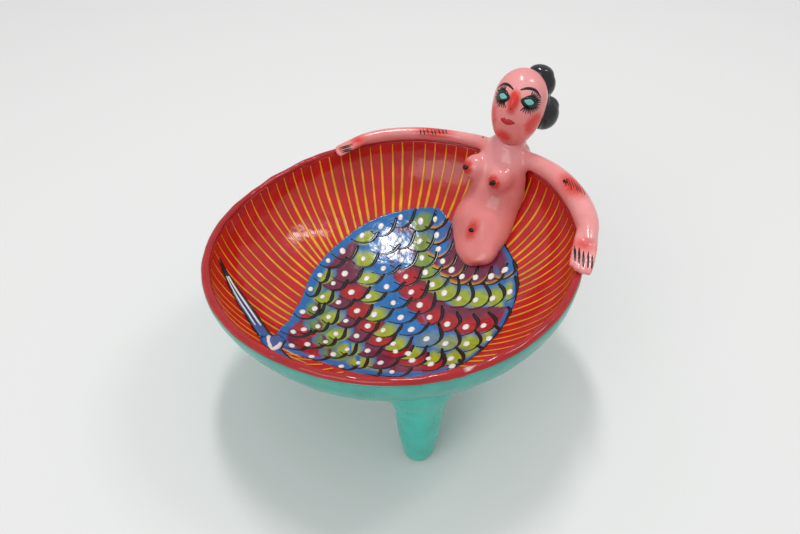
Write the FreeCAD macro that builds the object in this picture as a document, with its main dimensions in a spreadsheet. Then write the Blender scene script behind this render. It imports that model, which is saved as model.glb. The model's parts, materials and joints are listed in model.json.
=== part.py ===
import FreeCAD, Part
import math
import os

import Sketcher
from FreeCAD import Placement, Rotation, Vector

# A footed papier-mache bowl with a mermaid leaning on its rim, as separate pieces.
#
# The bowl stands on three feet, so its rim is well above the table, and it leans a little to one
# side. A roll of pasted paper covers the raw edge. The mermaid's torso is laid up against the
# inner wall, her head rises above the rim, and each arm lies along the rim and ends in a hand.
#
# Two frames are used. The table frame is the part's own: Z up, the table at Z = 0. The bowl frame
# has its origin at the centre of the rim and its Z along the bowl's axis, so it leans with the
# bowl. Places on the figure are given in the bowl frame as (out, side, up): out from the bowl's
# axis at the figure's azimuth, side along the rim, and up above the rim. The sizes state them as
# distances from the rim or from the neck's foot, so the figure keeps to the rim it leans on.

# Driving dimensions: alias, value in millimetres or degrees, meaning.
SIZES = [
    ("rim_radius", 82.5, "outer radius of the bowl at its rim"),
    ("bowl_depth", 47, "depth from the rim to the lowest underside"),
    ("wall", 4, "thickness of the pasted paper wall"),
    ("lip_radius", 2.6, "radius of the half-round paper roll on the edge"),
    ("rim_height", 82, "height of the rim's centre above the table"),
    ("bowl_lean", 3, "angle by which the bowl leans to one side"),
    ("axis_x", -2.6, "bowl's axis from the origin, along X"),
    ("axis_y", -0.4, "bowl's axis from the origin, along Y"),
    ("foot_circle", 55.6, "distance of each foot from the bowl's axis"),
    ("foot_azimuth", -78.5, "azimuth of the front foot"),
    ("foot_tip_radius", 7, "radius of a foot at the table, before its edge is rounded"),
    ("foot_top_radius", 10.6, "radius of a foot where its flare starts"),
    ("foot_flare_radius", 14, "radius of the pasted pad under the bowl"),
    ("foot_flare_drop", 10, "length of the flare under the bowl"),
    ("foot_round", 4, "rounding of the foot's lower edge"),
    ("pin_radius", 1.5, "radius of the stick inside each foot"),
    ("pin_start", 22, "height at which the stick starts"),
    ("pin_grip", 2.4, "depth of the stick's end in the wall"),
    ("figure_azimuth", 46, "azimuth at which the figure leans on the rim"),
    ("breast_radius", 6.8, "radius of a breast"),
    ("breast_inward", 14.5, "breasts in from the rim's outer radius"),
    ("breast_side", 1.5, "middle of the breasts along the rim"),
    ("breast_up", -3.5, "breasts above the rim"),
    ("breast_gap", 15.5, "distance between the two breasts' centres"),
    ("breast_splay_angle", 16.7, "angle by which each nipple turns away from the other"),
    ("breast_lift_angle", 19.3, "angle by which the nipples point up"),
    ("nipple_radius", 1.3, "radius of a nipple"),
    ("head_radius", 12.2, "half of the head's width"),
    ("head_crown", 17, "height of the crown above the widest place"),
    ("head_chin", 21.5, "depth of the chin below the widest place"),
    ("head_out", 3.5, "head's widest place, out from the neck's foot"),
    ("head_side", -1.8, "head's widest place, along the rim from the neck's foot"),
    ("head_up", 18.6, "head's widest place, above the neck's foot"),
    ("face_azimuth", -114, "azimuth towards which the face looks"),
    ("head_lean_back", 27, "angle by which the head leans back"),
    ("head_lean_side", 5, "angle by which the head leans towards her left"),
    ("nose_radius", 2.4, "half of the nose's width"),
    ("nose_length", 9.6, "length of the nose"),
    ("nose_drop", 1, "middle of the nose below the head's widest place"),
    ("hair_thickness", 1.6, "thickness of the hair cap"),
    ("hair_set_back", 3.2, "how far the hair cap is set back on the head"),
    ("hairline", 3, "hairline behind the middle of the head"),
    ("nape_drop", 11, "lower edge of the hair below the widest place"),
    ("topknot_radius", 6.4, "radius of the topknot"),
    ("topknot_half_height", 5.4, "half of the topknot's height"),
    ("topknot_side", 4, "topknot towards her left"),
    ("topknot_back", 10, "topknot behind the middle of the head"),
    ("topknot_up", 15.5, "topknot above the widest place"),
    ("bun_radius", 7.2, "radius of the bun at the nape"),
    ("bun_half_height", 8, "half of the bun's height"),
    ("bun_side", 9.5, "bun towards her left"),
    ("bun_back", 12, "bun behind the middle of the head"),
    ("bun_drop", 3, "bun below the widest place"),
    ("neck_radius", 7, "radius of the neck"),
    ("neck_length", 13, "length of the neck from the shoulders to its end in the head"),
    ("left_arm_start_azimuth", 41, "azimuth of the left arm's end in the shoulder"),
    ("left_arm_end_azimuth", -4, "azimuth of the left wrist"),
    ("left_arm_beyond", 1, "left arm's middle beyond the rim's radius"),
    ("left_arm_up", 3.8, "left arm's middle above the rim"),
    ("left_arm_radius", 4.9, "radius of the left arm"),
    ("right_arm_start_azimuth", 51, "azimuth of the right arm's end in the shoulder"),
    ("right_arm_end_azimuth", 102, "azimuth of the right wrist"),
    ("right_arm_beyond", -1.8, "right arm's middle beyond the rim's radius"),
    ("right_arm_up", 1.8, "right arm's middle above the rim"),
    ("right_arm_radius", 3.2, "radius of the right arm"),
    ("left_hand_length", 19, "length of the left hand past the wrist"),
    ("left_hand_droop_angle", 24, "angle by which the left hand droops over the rim"),
    ("left_hand_turn_angle", 10, "angle by which the left hand turns inwards"),
    ("right_hand_length", 15, "length of the right hand past the wrist"),
    ("right_hand_droop_angle", 20, "angle by which the right hand droops over the rim"),
    ("right_hand_turn_angle", 14, "angle by which the right hand turns inwards"),
    ("wire_cover_azimuth", 6, "azimuth by which a wire stops short of each end of its arm"),
    ("wire_reach", 16, "length of the neck wire each way from the shoulders"),
    ("wire_radius", 0.8, "radius of the armature wires"),
]

# Stations of the torso. On the wall: how far in from the wall's top, place along the rim, half of
# the width, relief towards the hollow. Free of the wall: how far in from the rim's outer radius,
# place along the rim, height above the rim, half of the width, relief.
WALL_FIELDS = ("inward", "side", "half", "relief")
WALL_STATIONS = {
    "belly_end": (40, -13, 6, 5),
    "belly_low": (35, -9.5, 13.5, 9),
    "belly": (26.5, -5, 17, 11.5),
    "waist": (18.5, -2.5, 17, 12),
    "ribs": (11, -1.5, 16, 12),
}
FREE_FIELDS = ("inward", "side", "up", "half", "relief")
FREE_STATIONS = {
    "chest": (6.5, -1, -6, 14.6, 10.5),
    "shoulder": (3, -0.5, 2.5, 13.6, 9.5),
    "neck_base": (1.5, -1.5, 9, 8.6, 8),
}

for fields, stations in ((WALL_FIELDS, WALL_STATIONS), (FREE_FIELDS, FREE_STATIONS)):
    for station, values in stations.items():
        for field, value in zip(fields, values):
            SIZES.append((f"{station}_{field}", value, f"{station} station: {field}"))

doc = FreeCAD.newDocument("MermaidBowl")
sheet = doc.addObject("Spreadsheet::Sheet", "Sizes")
for row, (alias, value, meaning) in enumerate(SIZES, start=1):
    sheet.set(f"A{row}", meaning)
    sheet.set(f"B{row}", str(value))
    sheet.setAlias(f"B{row}", alias)
doc.recompute()


def size(alias):
    """One cell of the sheet, as a plain number."""
    return float(sheet.get(alias))


def worked_out(expression):
    """An expression on the sheet, as a plain number."""
    return float(sheet.evalExpression(expression))


# --- Frames and places ------------------------------------------------------------------------

UP = Vector(0, 0, 1)
LEAN_AXIS = Vector(0, -1, 0)
bowl_frame = Placement(
    Vector(size("axis_x"), size("axis_y"), size("rim_height")),
    Rotation(LEAN_AXIS, size("bowl_lean")),
)
OUT = Rotation(UP, size("figure_azimuth")).multVec(Vector(1, 0, 0))
SIDE = Rotation(UP, size("figure_azimuth")).multVec(Vector(0, 1, 0))


def figure_point(out, side, up):
    """A place on the figure, in the bowl frame."""
    return OUT * out + SIDE * side + UP * up


def hollow_height(point):
    """Height of the inner wall at a plan place, in the bowl frame (negative: below the rim)."""
    reach = math.hypot(point.x, point.y) / (size("rim_radius") - size("wall"))
    return -(size("bowl_depth") - size("wall")) * math.sqrt(1 - reach**2)


def put_in_bowl_frame(feature, local=Placement()):
    """Place a feature in the leaning bowl frame."""
    feature.Placement = bowl_frame.multiply(local)


def bind(feature, **expressions):
    """Bind a feature's properties to expressions on the sheet."""
    for prop, expression in expressions.items():
        feature.setExpression(prop, expression)


# --- Feature helpers --------------------------------------------------------------------------


def set_shape(name, shape, placement):
    """A feature with a shape worked out from the sheet, placed after its shape is set."""
    feature = doc.addObject("Part::Feature", name)
    feature.Shape = shape
    feature.Placement = placement
    return feature


def egg(name, radius, above, below, placement):
    """A solid turned about Z: half an ellipse above its widest place and half another below.

    With nothing above, it is a dome hanging from a flat face."""
    middle = Vector(0, 0, 0)
    widest = Vector(radius, 0, 0)
    top = Vector(0, above, 0)
    bottom = Vector(0, -below, 0)
    edges = [quarter(widest, bottom), Part.makeLine(top, bottom)]
    edges.append(quarter(widest, top) if above else Part.makeLine(middle, widest))
    section = Part.Face(Part.Wire(Part.sortEdges(edges)[0]))
    section.rotate(middle, Vector(1, 0, 0), 90)
    return set_shape(name, section.revolve(middle, UP, 360), placement)


def quarter(first, second):
    """A quarter of an ellipse about the origin, between the ends of its two half axes."""
    longer, shorter = sorted((first, second), key=lambda end: -end.Length)
    ellipse = Part.Ellipse(longer, shorter, Vector(0, 0, 0))
    return Part.ArcOfEllipse(ellipse, 0, math.pi / 2).toBSpline().toShape()


def cut(name, base, *tools):
    """The base less every tool, as one feature for each tool."""
    for number, tool in enumerate(tools, start=1):
        step = doc.addObject("Part::Cut", name if number == len(tools) else f"{name}_step_{number}")
        step.Base = base
        step.Tool = tool
        base = step
    return base


RING_POINTS = 8


def oval_ring(centre, along, across, half_width, half_depth):
    """A closed oval wire round a station, square to the direction along the limb."""
    along = Vector(along).normalize()
    front = along.cross(across).normalize()
    width = front.cross(along).normalize()
    points = []
    for i in range(RING_POINTS):
        turn = 2 * math.pi * i / RING_POINTS
        points.append(centre + width * (half_width * math.cos(turn))
                      + front * (half_depth * math.sin(turn)))
    ring = Part.BSplineCurve()
    ring.interpolate(Points=points, PeriodicFlag=True)
    return Part.Wire(ring.toShape())


def limb(centres, across, half_widths, half_depths):
    """A smooth solid through oval stations; each ring is square to the line of the centres."""
    rings = []
    for i, centre in enumerate(centres):
        ahead = centres[min(i + 1, len(centres) - 1)]
        behind = centres[max(i - 1, 0)]
        rings.append(oval_ring(centre, ahead - behind, across[i], half_widths[i], half_depths[i]))
    return Part.makeLoft(rings, True)


# --- Bowl ---------------------------------------------------------------------------------------
# Paper pasted in layers over a mould: half an ellipsoid outside and one wall less inside, cut
# level under the lip.


def bowl_form(name, inset):
    """The bowl's outer form, less an inset from it all over."""
    depth = size("bowl_depth") - inset
    return egg(name, size("rim_radius") - inset, depth, depth, bowl_frame)


outer_form = bowl_form("outer_form", 0)
inner_form = bowl_form("inner_form", size("wall"))

above_edge = doc.addObject("Part::Cylinder", "above_edge")
bind(above_edge, Radius="2 * Sizes.rim_radius", Height="2 * Sizes.bowl_depth")
put_in_bowl_frame(above_edge, Placement(Vector(0, 0, -size("lip_radius")), Rotation()))

# Everything below the edge that isn't hollow: it trims what is modelled against the inner wall.
below_edge = doc.addObject("Part::Cylinder", "below_edge")
bind(below_edge, Radius="2 * Sizes.rim_radius", Height="2 * Sizes.bowl_depth - Sizes.lip_radius")
put_in_bowl_frame(below_edge, Placement(Vector(0, 0, -2 * size("bowl_depth")), Rotation()))
outside_hollow = cut("outside_hollow", below_edge, inner_form)


def sketch_on(body, name, role):
    """A sketch on one of the body's own origin planes."""
    sketch = body.newObject("Sketcher::SketchObject", name)
    plane = next(f for f in body.Origin.OriginFeatures if f.Role == role)
    sketch.AttachmentSupport = [(plane, "")]
    sketch.MapMode = "FlatFace"
    return sketch


def revolved(body, sketch):
    revolution = body.newObject("PartDesign::Revolution", body.Name + "_turned")
    revolution.Profile = sketch
    revolution.ReferenceAxis = (sketch, ["V_Axis"])
    revolution.Angle = 360
    return revolution


# How a sketch constraint names the sketch's own origin.
ORIGIN_POINT = (-1, 1)

# The lip: a half-round roll of paper, flat side down on the wall's level edge.
rim_roll = doc.addObject("PartDesign::Body", "rim_roll")
lip_sketch = sketch_on(rim_roll, "lip_section", "XZ_Plane")
lip_middle = size("rim_radius") - size("wall") / 2
lip = size("lip_radius")
arc = lip_sketch.addGeometry(
    Part.ArcOfCircle(Part.Circle(Vector(lip_middle, -lip, 0), Vector(0, 0, 1), lip), 0, math.pi))
flat = lip_sketch.addGeometry(
    Part.LineSegment(Vector(lip_middle - lip, -lip, 0), Vector(lip_middle + lip, -lip, 0)))
lip_sketch.addConstraint([
    Sketcher.Constraint("Coincident", arc, 2, flat, 1),
    Sketcher.Constraint("Coincident", arc, 1, flat, 2),
    Sketcher.Constraint("PointOnObject", arc, 3, flat),
    Sketcher.Constraint("Horizontal", flat),
])
for constraint, expression in (
    (Sketcher.Constraint("Radius", arc, lip), "Sizes.lip_radius"),
    (Sketcher.Constraint("DistanceX", *ORIGIN_POINT, arc, 3, lip_middle),
     "Sizes.rim_radius - Sizes.wall / 2"),
    (Sketcher.Constraint("DistanceY", arc, 3, *ORIGIN_POINT, lip), "Sizes.lip_radius"),
):
    number = lip_sketch.addConstraint(constraint)
    lip_sketch.setExpression(f"Constraints[{number}]", expression)
rim_roll.Tip = revolved(rim_roll, lip_sketch)
put_in_bowl_frame(rim_roll)


# --- Feet ---------------------------------------------------------------------------------------
# Three tapered stumps of rolled and pasted paper. Each stands upright on the table and flares into
# a pad under the bowl, and a stick up its middle goes into the wall.

FOOT_NAMES = ("foot_front", "foot_right", "foot_left")
# An edge no higher than this lies in the sole.
FLAT = 1e-6
stop_form = bowl_form("stick_stop_form", size("pin_grip"))


def foot_blank(name, azimuth):
    """One turned foot, tall enough to reach into the bowl, before the bowl's form trims it."""
    body = doc.addObject("PartDesign::Body", name + "_blank")
    sketch = sketch_on(body, name + "_section", "XZ_Plane")
    # Height of the bowl's underside over this foot: the ellipse's height plus the lean's share.
    underside = (f"(Sizes.rim_height - Sizes.bowl_depth"
                 f" * sqrt(1 - (Sizes.foot_circle / Sizes.rim_radius)^2)"
                 f" + Sizes.foot_circle * cos({azimuth}) * tan(Sizes.bowl_lean))")
    # Radius and height of each corner of the section, from the tip's middle round to the axis.
    corners = [
        ("0", "0"),
        ("Sizes.foot_tip_radius", "0"),
        ("Sizes.foot_top_radius", underside + " - Sizes.foot_flare_drop"),
        ("Sizes.foot_flare_radius", underside),
        ("Sizes.foot_flare_radius", "Sizes.rim_height"),
        ("0", "Sizes.rim_height"),
    ]
    places = [Vector(worked_out(radius), worked_out(height), 0) for radius, height in corners]
    lines = []
    for start, end in zip(places, places[1:] + places[:1]):
        lines.append(sketch.addGeometry(Part.LineSegment(start, end)))
    for this, following in zip(lines, lines[1:] + lines[:1]):
        sketch.addConstraint(Sketcher.Constraint("Coincident", this, 2, following, 1))
    sketch.addConstraint(Sketcher.Constraint("Coincident", lines[0], 1, *ORIGIN_POINT))
    sketch.addConstraint(Sketcher.Constraint("Horizontal", lines[0]))
    sketch.addConstraint(Sketcher.Constraint("Vertical", lines[3]))
    sketch.addConstraint(Sketcher.Constraint("Horizontal", lines[4]))
    sketch.addConstraint(Sketcher.Constraint("Vertical", lines[5]))
    for corner, axis in ((1, 0), (2, 0), (3, 0), (2, 1), (3, 1), (4, 1)):
        number = sketch.addConstraint(Sketcher.Constraint(
            ("DistanceX", "DistanceY")[axis], *ORIGIN_POINT, lines[corner], 1,
            places[corner][axis]))
        sketch.setExpression(f"Constraints[{number}]", corners[corner][axis])
    turned = revolved(body, sketch)
    doc.recompute()
    lower_edge = next(
        f"Edge{n}" for n, edge in enumerate(turned.Shape.Edges, start=1)
        if edge.BoundBox.ZMax < FLAT and edge.BoundBox.XLength > size("foot_tip_radius"))
    rounded = body.newObject("PartDesign::Fillet", name + "_rounded")
    rounded.Base = (turned, [lower_edge])
    bind(rounded, Radius="Sizes.foot_round")
    body.Tip = rounded
    body.Placement = Placement(foot_place(azimuth), Rotation())
    return body


def foot_place(azimuth):
    """Where a foot stands on the table."""
    turn = Rotation(Vector(0, 0, 1), azimuth)
    middle = Vector(size("axis_x"), size("axis_y"), 0)
    return middle + turn.multVec(Vector(size("foot_circle"), 0, 0))


feet = []
sticks = []
for number, name in enumerate(FOOT_NAMES):
    azimuth = size("foot_azimuth") + 360 / len(FOOT_NAMES) * number
    stick_blank = doc.addObject("Part::Cylinder", name + "_stick_blank")
    bind(stick_blank, Radius="Sizes.pin_radius", Height="Sizes.rim_height - Sizes.pin_start")
    stick_blank.Placement = Placement(foot_place(azimuth) + UP * size("pin_start"), Rotation())
    sticks.append(cut(name + "_stick", stick_blank, stop_form))
    feet.append(cut(name, foot_blank(name, azimuth), outer_form, sticks[-1]))
foot_sticks = doc.addObject("Part::Compound", "foot_sticks")
foot_sticks.Links = sticks
bowl_shell = cut("bowl_shell", outer_form, inner_form, above_edge, foot_sticks)


# --- Torso --------------------------------------------------------------------------------------
# One tapering lobe of paste: half sunk in the inner wall at the belly, free of it at the neck.


def torso_stations():
    centres, half_widths, reliefs = [], [], []
    for name in WALL_STATIONS:
        out = size("rim_radius") - size("wall") - size(name + "_inward")
        place = figure_point(out, size(name + "_side"), 0)
        centres.append(place + UP * hollow_height(place))
        half_widths.append(size(name + "_half"))
        reliefs.append(size(name + "_relief"))
    for name in FREE_STATIONS:
        out = size("rim_radius") - size(name + "_inward")
        centres.append(figure_point(out, size(name + "_side"), size(name + "_up")))
        half_widths.append(size(name + "_half"))
        reliefs.append(size(name + "_relief"))
    return centres, half_widths, reliefs


torso_centres, torso_halves, torso_reliefs = torso_stations()
torso_form = set_shape(
    "torso_form",
    limb(torso_centres, [SIDE] * len(torso_centres), torso_halves, torso_reliefs),
    bowl_frame)


# --- Neck ---------------------------------------------------------------------------------------
# A short round neck stands on the level top of the torso and ends inside the head. A straight wire
# runs up its middle, from the chest into the head.

neck_foot = bowl_frame.multVec(torso_centres[-1])
neck_turn = bowl_frame.Rotation.multiply(Rotation(UP, torso_centres[-1] - torso_centres[-2]))
neck_axis = neck_turn.multVec(UP)
neck_form = doc.addObject("Part::Cylinder", "neck_form")
bind(neck_form, Radius="Sizes.neck_radius", Height="Sizes.neck_length")
neck_form.Placement = Placement(neck_foot, neck_turn)
neck_wire = doc.addObject("Part::Cylinder", "neck_wire")
bind(neck_wire, Radius="Sizes.wire_radius", Height="2 * Sizes.wire_reach")
neck_wire.Placement = Placement(neck_foot - neck_axis * size("wire_reach"), neck_turn)


# --- Head ---------------------------------------------------------------------------------------
# An egg of paste with its long axis leaning back. In the head's own frame the face looks along -Y.

head_frame = bowl_frame.multiply(Placement(
    torso_centres[-1] + figure_point(size("head_out"), size("head_side"), size("head_up")),
    Rotation(UP, size("face_azimuth") + 90).multiply(
        Rotation(Vector(1, 0, 0), -size("head_lean_back"))).multiply(
            Rotation(Vector(0, 1, 0), size("head_lean_side")))))


def in_head(x, y, z):
    """A placement in the head's frame: x to her left, y to the back, z to the crown."""
    return head_frame.multiply(Placement(Vector(x, y, z), Rotation()))


def head_egg(name, grown, set_back):
    """The head's egg, grown all over and set back along the head's Y."""
    return egg(name, size("head_radius") + grown, size("head_crown") + grown,
               size("head_chin") + grown, in_head(0, set_back, 0))


head_form = head_egg("head_form", 0, 0)

# The nose: a long ridge with its back sunk in the face.
nose_form = egg("nose_form", size("nose_radius"), size("nose_length") / 2,
                size("nose_length") / 2, in_head(0, -size("head_radius"), -size("nose_drop")))
nose = cut("nose", nose_form, head_form)

# The hair: a cap on the back of the head, a knot on top of it and a bun at the nape.
cap_form = head_egg("cap_form", size("hair_thickness"), size("hair_set_back"))
face_side = doc.addObject("Part::Box", "face_side")
nape_side = doc.addObject("Part::Box", "nape_side")
for block in (face_side, nape_side):
    bind(block, Length="6 * Sizes.head_chin", Width="6 * Sizes.head_chin",
         Height="6 * Sizes.head_chin")
reach = 3 * size("head_chin")
face_side.Placement = in_head(-reach, size("hairline") - 2 * reach, -reach)
nape_side.Placement = in_head(-reach, -reach, -size("nape_drop") - 2 * reach)
hair_cap = cut("hair_cap", cap_form, face_side, nape_side, head_form, neck_form)


def hair_ball(name, radius, half_height, place):
    """A coiled ball of hair seated in the hair cap."""
    form = egg(name + "_form", radius, half_height, half_height, in_head(*place))
    return cut(name, form, head_form, hair_cap, neck_form)


hair_topknot = hair_ball("hair_topknot", size("topknot_radius"), size("topknot_half_height"),
                         (size("topknot_side"), size("topknot_back"), size("topknot_up")))
hair_bun = hair_ball("hair_bun", size("bun_radius"), size("bun_half_height"),
                     (size("bun_side"), size("bun_back"), -size("bun_drop")))


# --- Arms and hands -----------------------------------------------------------------------------
# Each arm is a tube of paste bent round the rim over a wire, and ends in a flat hand.


def rim_tube(name, side, radius, short):
    """A tube bent round the rim along one arm, a given azimuth short of the arm's two ends."""
    tube = doc.addObject("Part::Torus", name)
    start, end = sorted((size(f"{side}_arm_start_azimuth"), size(f"{side}_arm_end_azimuth")))
    bind(tube, Radius1=f"Sizes.rim_radius + Sizes.{side}_arm_beyond", Radius2=radius)
    tube.Angle3 = end - start - 2 * short
    put_in_bowl_frame(tube, Placement(
        UP * size(f"{side}_arm_up"), Rotation(UP, start + short)))
    return tube


def hand_form(name, side, onward):
    """A mitten of paste that droops over the rim from the flat end of an arm."""
    radius = size(f"{side}_arm_radius")
    reach = size("rim_radius") + size(f"{side}_arm_beyond")
    turn = Rotation(UP, size(f"{side}_arm_end_azimuth"))
    wrist = turn.multVec(Vector(reach, 0, 0)) + UP * size(f"{side}_arm_up")
    inward = math.radians(size(f"{side}_hand_turn_angle"))
    droop = math.radians(size(f"{side}_hand_droop_angle"))
    fingers = turn.multVec(
        Vector(-math.sin(inward), onward * math.cos(inward), -math.tan(droop)))
    mitten = egg(name, radius, radius, size(f"{side}_hand_length"),
                 bowl_frame.multiply(Placement(wrist, Rotation(-UP, fingers))))
    behind_wrist = doc.addObject("Part::Box", name + "_behind_wrist")
    bind(behind_wrist, **{edge: f"4 * Sizes.{side}_arm_radius"
                          for edge in ("Length", "Width", "Height")})
    corner = Vector(-2 * radius, 0 if onward < 0 else -4 * radius, -2 * radius)
    put_in_bowl_frame(behind_wrist, Placement(wrist + turn.multVec(corner), turn))
    return cut(name + "_trimmed", mitten, behind_wrist)


left_arm_form = rim_tube("left_arm_form", "left", "Sizes.left_arm_radius", 0)
right_arm_form = rim_tube("right_arm_form", "right", "Sizes.right_arm_radius", 0)
left_arm_wire = rim_tube("left_arm_wire", "left", "Sizes.wire_radius", size("wire_cover_azimuth"))
right_arm_wire = rim_tube("right_arm_wire", "right", "Sizes.wire_radius", size("wire_cover_azimuth"))
left_hand_form = hand_form("left_hand_form", "left", -1)
right_hand_form = hand_form("right_hand_form", "right", 1)


# --- Pieces fitted to each other ----------------------------------------------------------------

head = cut("head", head_form, neck_form, neck_wire)
neck = cut("neck", neck_form, neck_wire)
torso = cut("torso", torso_form, outside_hollow, rim_roll, neck_wire)


def breast(name, side):
    """A dome of paste on the chest, with its nipple towards the hollow."""
    middle = figure_point(size("rim_radius") - size("breast_inward"),
                          size("breast_side") + side * size("breast_gap") / 2, size("breast_up"))
    splay = side * math.tan(math.radians(size("breast_splay_angle")))
    lift = math.tan(math.radians(size("breast_lift_angle")))
    facing = figure_point(-1, splay, lift).normalize()
    dome = doc.addObject("Part::Sphere", name + "_dome")
    bind(dome, Radius="Sizes.breast_radius")
    dome.Placement = bowl_frame.multiply(Placement(middle, Rotation()))
    tip = doc.addObject("Part::Sphere", name + "_nipple")
    bind(tip, Radius="Sizes.nipple_radius")
    tip.Placement = bowl_frame.multiply(
        Placement(middle + facing * size("breast_radius"), Rotation()))
    whole = doc.addObject("Part::MultiFuse", name + "_form")
    whole.Shapes = [dome, tip]
    return whole


breast_left = cut("breast_left", breast("breast_left", -1), torso_form)
breast_right = cut("breast_right", breast("breast_right", 1), torso_form)
arm_left = cut("arm_left", left_arm_form, rim_roll, torso_form, left_arm_wire)
hand_left = cut("hand_left", left_hand_form, rim_roll, bowl_shell)
arm_right = cut("arm_right", right_arm_form, rim_roll, torso_form, right_arm_wire)
hand_right = cut("hand_right", right_hand_form, rim_roll, bowl_shell)

NODES = [
    bowl_shell, rim_roll, *feet, foot_sticks, torso, neck, breast_left, breast_right, head, nose,
    hair_cap, hair_topknot, hair_bun, arm_left, arm_right, hand_left, hand_right, neck_wire,
    left_arm_wire, right_arm_wire,
]

# --- Checks and files ---------------------------------------------------------------------------

doc.recompute()
for obj in doc.Objects:
    if {"Invalid", "Error"} & set(obj.State):
        raise RuntimeError(f"{obj.Label} failed: {obj.State}")
for node in NODES:
    node.Label = node.Name
    shape = node.Shape
    if shape.isNull() or not shape.isValid() or not shape.Solids:
        raise RuntimeError(f"{node.Label} has no valid solid")
    print(f"{node.Label:18} solids {len(shape.Solids)}  volume {shape.Volume:10.1f} mm3")

os.makedirs("parts", exist_ok=True)
for node in NODES:
    node.Shape.exportStep(f"parts/{node.Label}.step")
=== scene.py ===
# %% [markdown]
# # A papier-mache mermaid bowl, painted and varnished
#
# The real object is a footed bowl of pasted paper. A mermaid leans on its rim: her torso lies
# against the inner wall, her arms lie along the rim, and her tail is painted over the bottom.
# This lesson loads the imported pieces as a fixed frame, then models each hand-made form around
# them, because a form pressed by hand is never as regular as a turned solid.

# %% Load the frame
import bpy
import json
import math
import numpy as np
import random
from collections import namedtuple
from mathutils import Matrix, Vector, noise
from mathutils.bvhtree import BVHTree

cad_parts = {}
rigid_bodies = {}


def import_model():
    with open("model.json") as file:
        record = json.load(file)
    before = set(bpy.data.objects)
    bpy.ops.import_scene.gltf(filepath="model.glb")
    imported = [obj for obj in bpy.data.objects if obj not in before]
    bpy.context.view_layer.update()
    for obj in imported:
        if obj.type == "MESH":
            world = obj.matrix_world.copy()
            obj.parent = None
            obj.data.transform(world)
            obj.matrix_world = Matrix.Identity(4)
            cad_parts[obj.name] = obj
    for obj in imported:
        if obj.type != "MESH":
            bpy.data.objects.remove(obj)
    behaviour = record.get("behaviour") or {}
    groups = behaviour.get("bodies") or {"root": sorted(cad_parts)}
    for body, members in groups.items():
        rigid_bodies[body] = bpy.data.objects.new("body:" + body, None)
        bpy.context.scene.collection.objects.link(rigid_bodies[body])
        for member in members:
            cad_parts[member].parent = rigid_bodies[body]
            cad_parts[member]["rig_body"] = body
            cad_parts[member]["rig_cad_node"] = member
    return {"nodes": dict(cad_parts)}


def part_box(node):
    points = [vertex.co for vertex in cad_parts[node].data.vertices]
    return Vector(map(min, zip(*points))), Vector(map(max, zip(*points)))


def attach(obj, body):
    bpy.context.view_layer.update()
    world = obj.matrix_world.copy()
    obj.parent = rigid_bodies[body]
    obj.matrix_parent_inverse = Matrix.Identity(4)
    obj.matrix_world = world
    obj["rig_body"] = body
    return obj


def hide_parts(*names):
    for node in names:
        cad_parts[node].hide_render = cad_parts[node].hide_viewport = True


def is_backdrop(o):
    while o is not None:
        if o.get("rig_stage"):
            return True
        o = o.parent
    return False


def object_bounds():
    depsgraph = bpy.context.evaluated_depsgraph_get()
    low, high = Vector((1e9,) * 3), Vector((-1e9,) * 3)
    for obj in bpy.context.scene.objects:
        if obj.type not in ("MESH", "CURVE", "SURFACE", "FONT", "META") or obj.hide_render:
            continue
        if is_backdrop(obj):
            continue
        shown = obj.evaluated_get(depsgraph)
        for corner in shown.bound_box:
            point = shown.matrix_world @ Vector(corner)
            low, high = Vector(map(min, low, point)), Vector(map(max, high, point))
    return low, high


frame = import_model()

CAD_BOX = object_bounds()
print("nodes in the frame:", len(frame["nodes"]))

# %% [markdown]
# ## The bowl's own frame
#
# The bowl leans a little, so everything on it is measured from the centre of its rim, with Z along
# the bowl's axis. One matrix then takes a finished mesh to the table's frame. The centre comes
# from the box of the frame's lip, a roll of radius LIP_RADIUS. EDGE_RADIUS is that of the
# slimmer roll that is modelled here. The sizes are the bowl's own, in millimetres times MM.

# %% Sizes and the leaning frame
MM = 0.001
RIM_RADIUS = 82.5 * MM
BOWL_DEPTH = 47 * MM
WALL = 4 * MM
LIP_RADIUS = 2.6 * MM
EDGE_RADIUS = 1.75 * MM
LEAN = math.radians(3)
FIGURE_AZIMUTH = math.radians(46)
HOLLOW_RADIUS = RIM_RADIUS - WALL
HOLLOW_DEPTH = BOWL_DEPTH - WALL

lip_low, lip_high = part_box("rim_roll")
RIM_CENTRE = (lip_low + lip_high) / 2 + Vector((0, 0, LIP_RADIUS / 2))
BOWL = Matrix.Translation(RIM_CENTRE) @ Matrix.Rotation(-LEAN, 4, "Y")
OUT = Vector((math.cos(FIGURE_AZIMUTH), math.sin(FIGURE_AZIMUTH), 0))
SIDE = Vector((-math.sin(FIGURE_AZIMUTH), math.cos(FIGURE_AZIMUTH), 0))
UP = Vector((0, 0, 1))
print("rim centre in mm:", [round(c / MM, 1) for c in RIM_CENTRE])


def figure_point(out, side, up):
    """A place on the figure in the bowl frame, from millimetres out, along the rim and up."""
    return (OUT * out + SIDE * side + UP * up) * MM


# %% [markdown]
# ## Hand-made unevenness
#
# A bowl laid up by hand wanders from a true circle, and its surface has soft lumps. Both are one
# smooth function of the place, so the wall, the lip and all the paint on them move together and
# no paint floats or sinks.

# %% Wander and lumps
LUMP_SIZE = 17 * MM
LUMP_HEIGHT = 0.32 * MM


def rim_wander(azimuth):
    """How far the rim stands out from a true circle at an azimuth."""
    return MM * (0.8 * math.sin(2 * azimuth) - 1.28 * math.cos(3 * azimuth)
                 - 0.82 * math.sin(3 * azimuth) + 0.49 * math.cos(4 * azimuth))


def arm_bulge(azimuth):
    """How far the rim spreads where the weight of her left arm pressed it while it was wet."""
    turn = (azimuth - math.radians(20) + math.pi) % (2 * math.pi) - math.pi
    return 2.9 * MM * math.exp(-0.5 * (turn / math.radians(17))**2)


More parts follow.
